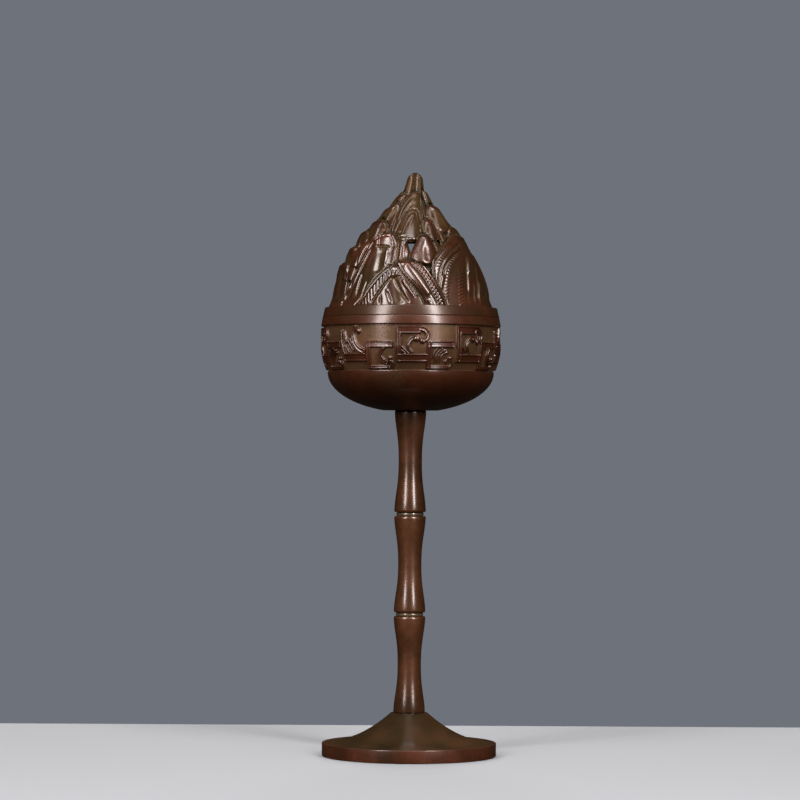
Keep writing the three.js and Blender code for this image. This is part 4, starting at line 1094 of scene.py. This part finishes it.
def materials():
    """The censer's finishes, made once."""
    if "Bronze Patina" not in bpy.data.node_groups:
        groups = {"patina": patina_group(), "skin": cast_skin_group()}
        # The lid's deepest gaps are darkened by painted shade, down to 0.3 of their colour
        bronze("Lid Bronze", groups, (0.054, 0.031, 0.012), (0.034, 0.012, 0.0048), (0.047, 0.0125, 0.0045),
               carved=True, polish=0.2, painted_gap_shade=0.3)
        bronze("Bowl Bronze", groups, (0.075, 0.036, 0.017), (0.042, 0.0115, 0.0045), (0.046, 0.012, 0.005),
               carved=True, polish=0.2, recess_gloss=0.3)
        bronze("Stem Bronze", groups, (0.044, 0.018, 0.007), (0.062, 0.022, 0.0085), (0.085, 0.029, 0.012),
               polish=0.22, skin_strength=0.3)
        bronze("Foot Bronze", groups, (0.031, 0.0175, 0.0065), (0.042, 0.018, 0.0065), (0.075, 0.022, 0.01),
               carved=True, polish=0.25, skin_strength=0.3, recess_gloss=0.5)
        bronze("Ring Bronze", groups, (0.09, 0.062, 0.036), (0.12, 0.082, 0.048), (0.16, 0.11, 0.062),
               metallic=0.5)
        bronze("Sooty Bronze", groups, (0.03, 0.02, 0.012), (0.04, 0.027, 0.018), (0.06, 0.04, 0.02))
        bronze("Turned Brass", groups, (0.5, 0.33, 0.14), (0.55, 0.38, 0.18), (0.6, 0.42, 0.2), metallic=1)
    return bpy.data.materials


def dress(piece, node, material, body="stand"):
    """Stands the piece in for its CAD node, with its finish and body."""
    piece.data.materials.append(materials()[material])
    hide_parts(node)
    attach(piece, body)


# Settings

class CenserDetail(bpy.types.PropertyGroup):
    lid_columns: IntProperty(name="Lid columns", description="Points round the carved lid",
                             default=1260, min=120)
    lid_rows: IntProperty(name="Lid rows", description="Points up the carved lid", default=420, min=60)
    bowl_columns: IntProperty(name="Bowl columns", description="Points round the bowl",
                              default=1440, min=120)
    band_rows: IntProperty(name="Band rows", description="Points up the meander band", default=130, min=30)


class CenserStudio(bpy.types.PropertyGroup):
    camera_distance: FloatProperty(name="Camera distance", description="From the stem to the camera",
                                   default=1.4, unit="LENGTH")
    camera_height: FloatProperty(name="Camera height", description="Above the floor",
                                 default=0.138, unit="LENGTH")
    lens: FloatProperty(name="Lens", description="Focal length on a 36 mm frame",
                        default=143.8, unit="CAMERA")
    floor_colour: FloatVectorProperty(name="Floor", description="Colour of the floor", subtype="COLOR",
                                      size=3, default=(0.25, 0.25, 0.26))
    floor_width: FloatProperty(name="Floor width", description="From side to side", default=3, unit="LENGTH")
    floor_depth: FloatProperty(name="Floor depth", description="From front to back",
                               default=1.4, unit="LENGTH")
    floor_back: FloatProperty(name="Floor's back edge", description="Behind the stem",
                              default=0.147, unit="LENGTH")
    left_power: FloatProperty(name="Left light", description="Watts", default=18, min=0)
    right_power: FloatProperty(name="Right light", description="Watts", default=20, min=0)
    top_power: FloatProperty(name="Top light", description="Watts", default=3, min=0)
    back_power: FloatProperty(name="Back light", description="Watts", default=30, min=0)
    surround: FloatProperty(name="Surround", description="Brightness of what the bronze mirrors",
                            default=0.3, min=0)
    back_colour: FloatVectorProperty(name="Background", description="Colour behind the censer",
                                     subtype="COLOR", size=3, default=(0.156, 0.168, 0.198))


# Operators

class CENSER_OT_foot(bpy.types.Operator):
    """Makes the trumpet foot"""
    bl_idname = "censer.foot"
    bl_label = "Foot"

    def execute(self, context):
        dress(foot_mesh("foot_visual"), "foot", "Foot Bronze")
        return {"FINISHED"}


class CENSER_OT_stem(bpy.types.Operator):
    """Makes the bamboo stem's segments and the rings between them"""
    bl_idname = "censer.stem"
    bl_label = "Bamboo Stem"

    def execute(self, context):
        for node in ("stem_lower", "stem_middle", "stem_upper"):
            dress(segment_mesh(node + "_visual", node), node, "Stem Bronze")
        for node in ("stem_ring_lower", "stem_ring_upper"):
            dress(ring_mesh(node + "_visual", node), node, "Ring Bronze")
        return {"FINISHED"}


class CENSER_OT_bowl(bpy.types.Operator):
    """Makes the bowl with its band of dragon meanders"""
    bl_idname = "censer.bowl"
    bl_label = "Bowl"

    def execute(self, context):
        detail = context.scene.censer_detail
        piece = bowl_mesh("bowl_visual", detail.bowl_columns, detail.band_rows)
        dress(piece, "bowl", "Bowl Bronze")
        return {"FINISHED"}


class CENSER_OT_lid(bpy.types.Operator):
    """Makes the pierced lid of mountain peaks"""
    bl_idname = "censer.lid"
    bl_label = "Mountain Lid"

    def execute(self, context):
        detail = context.scene.censer_detail
        piece = lid_mesh("lid_visual", detail.lid_columns, detail.lid_rows)
        dress(piece, "lid", "Lid Bronze", "lid")
        return {"FINISHED"}


class CENSER_OT_pan(bpy.types.Operator):
    """Makes the ash pan"""
    bl_idname = "censer.pan"
    bl_label = "Ash Pan"

    def execute(self, context):
        dress(pan_mesh("ash_pan_visual"), "ash_pan", "Sooty Bronze", "ash_pan")
        return {"FINISHED"}


class CENSER_OT_fasteners(bpy.types.Operator):
    """Makes the threaded tie rod, the nuts and the washers"""
    bl_idname = "censer.fasteners"
    bl_label = "Fasteners"

    def execute(self, context):
        dress(rod_mesh("tie_rod_visual"), "tie_rod", "Turned Brass")
        for node in ("foot_washer", "bowl_washer"):
            dress(washer_mesh(node + "_visual", node), node, "Turned Brass")
        for node in ("foot_nut", "bowl_nut"):
            dress(nut_mesh(node + "_visual", node), node, "Turned Brass")
        return {"FINISHED"}


SURROUND_COLOUR = (0.05, 0.036, 0.026)
FLOOR_ROUGHNESS = 0.8
AIM_HEIGHT = 0.15
SENSOR_WIDTH = 36


def studio_world(studio):
    """A grey backdrop for the camera, and a dimmer surround that the bronze mirrors."""
    world = bpy.data.worlds.new("Studio")
    world.use_nodes = True
    tree = world.node_tree
    backdrop = tree.nodes["Background"]
    backdrop.inputs["Color"].default_value = (*studio.back_colour, 1)
    surround = add_node(tree, "ShaderNodeBackground")
    surround.inputs["Color"].default_value = (*SURROUND_COLOUR, 1)
    surround.inputs["Strength"].default_value = studio.surround
    rays = add_node(tree, "ShaderNodeLightPath")
    mix = add_node(tree, "ShaderNodeMixShader")
    tree.links.new(rays.outputs["Is Camera Ray"], mix.inputs["Fac"])
    tree.links.new(surround.outputs["Background"], mix.inputs[1])
    tree.links.new(backdrop.outputs["Background"], mix.inputs[2])
    tree.links.new(mix.outputs["Shader"], tree.nodes["World Output"].inputs["Surface"])
    return world


def soft_box(name, azimuth, elevation, distance, size, power, aim, mirrored=True):
    """A lamp that faces aim, at degrees round from the front and degrees up."""
    lamp = bpy.data.lights.new(name, "AREA")
    lamp.shape = "RECTANGLE"
    lamp.size, lamp.size_y = size
    lamp.energy = power
    light = bpy.data.objects.new(name, lamp)
    light.visible_glossy = mirrored
    bpy.context.scene.collection.objects.link(light)
    turn, rise = math.radians(azimuth), math.radians(elevation)
    away = Vector((math.sin(turn) * math.cos(rise), -math.cos(turn) * math.cos(rise), math.sin(rise)))
    light.location = aim + distance * away
    light.rotation_euler = (light.location - aim).to_track_quat("Z", "Y").to_euler()


class CENSER_OT_stage(bpy.types.Operator):
    """Makes the floor, the studio lights and the camera"""
    bl_idname = "censer.stage"
    bl_label = "Studio"

    def execute(self, context):
        studio = context.scene.censer_studio
        bpy.ops.mesh.primitive_plane_add(size=1, location=(0, studio.floor_back - studio.floor_depth / 2, 0))
        floor = context.object
        floor.name = "floor"
        floor.scale = (studio.floor_width, studio.floor_depth, 1)
        material = bpy.data.materials.new("Pale Floor")
        material.use_nodes = True
        shader = material.node_tree.nodes["Principled BSDF"]
        shader.inputs["Base Color"].default_value = (*studio.floor_colour, 1)
        shader.inputs["Roughness"].default_value = FLOOR_ROUGHNESS
        floor.data.materials.append(material)
        floor.visible_glossy = False
        floor.visible_diffuse = False
        context.scene.world = studio_world(studio)
        context.scene.view_settings.view_transform = "Standard"
        aim = Vector((0, 0, AIM_HEIGHT))
        soft_box("key_left", -39, 32, 1.1, (0.26, 1.1), studio.left_power, aim)
        soft_box("key_right", 32, 32, 1.1, (0.18, 1.1), studio.right_power, aim)
        soft_box("top", 0, 78, 1.0, (0.4, 0.4), studio.top_power, aim)
        soft_box("back", 180, 30, 1.4, (0.9, 0.9), studio.back_power, aim, mirrored=False)
        lens = bpy.data.cameras.new("camera")
        lens.lens = studio.lens
        lens.sensor_width = SENSOR_WIDTH
        camera = bpy.data.objects.new("camera", lens)
        context.scene.collection.objects.link(camera)
        camera.location = (0, -studio.camera_distance, studio.camera_height)
        place_camera(camera, studio)
        context.scene.camera = camera
        return {"FINISHED"}


# Where the photograph has the horizon and the stem's axis, in pixels of a picture this wide
HORIZON_ROW = 440
AXIS_COLUMN = 410.6
ROLL = math.radians(0.29)
PICTURE = 800


def place_camera(camera, studio):
    """Points the camera so that the stem's axis and the horizon fall where the photograph has them."""
    focal = studio.lens / SENSOR_WIDTH * PICTURE
    pitch = math.atan((HORIZON_ROW - PICTURE / 2) / focal)
    yaw = math.atan((AXIS_COLUMN - PICTURE / 2) / focal)
    camera.rotation_mode = "XYZ"
    camera.rotation_euler = (math.pi / 2 + pitch, 0, yaw)
    camera.rotation_euler.rotate_axis("Z", ROLL)


class CENSER_PT_panel(bpy.types.Panel):
    """Lists the censer's pieces and the studio"""
    bl_idname = "CENSER_PT_panel"
    bl_label = "Hill Censer"
    bl_space_type = "VIEW_3D"
    bl_region_type = "UI"
    bl_category = "Hill Censer"

    def draw(self, context):
        for settings in (context.scene.censer_detail, context.scene.censer_studio):
            for name in type(settings).__annotations__:
                self.layout.prop(settings, name)
        for operator in OPERATORS:
            self.layout.operator(operator.bl_idname)


OPERATORS = (CENSER_OT_stage, CENSER_OT_foot, CENSER_OT_stem, CENSER_OT_bowl, CENSER_OT_lid, CENSER_OT_pan,
             CENSER_OT_fasteners)
CLASSES = (CenserDetail, CenserStudio, *OPERATORS, CENSER_PT_panel)


def register():
    for each in CLASSES:
        bpy.utils.register_class(each)
    bpy.types.Scene.censer_detail = PointerProperty(type=CenserDetail)
    bpy.types.Scene.censer_studio = PointerProperty(type=CenserStudio)


def unregister():
    del bpy.types.Scene.censer_studio
    del bpy.types.Scene.censer_detail
    for each in reversed(CLASSES):
        bpy.utils.unregister_class(each)


def main():
    register()
    bpy.ops.censer.stage()
    bpy.ops.censer.foot()
    bpy.ops.censer.stem()
    bpy.ops.censer.bowl()
    bpy.ops.censer.lid()
    bpy.ops.censer.pan()
    bpy.ops.censer.fasteners()


if __name__ == "__main__":
    main()
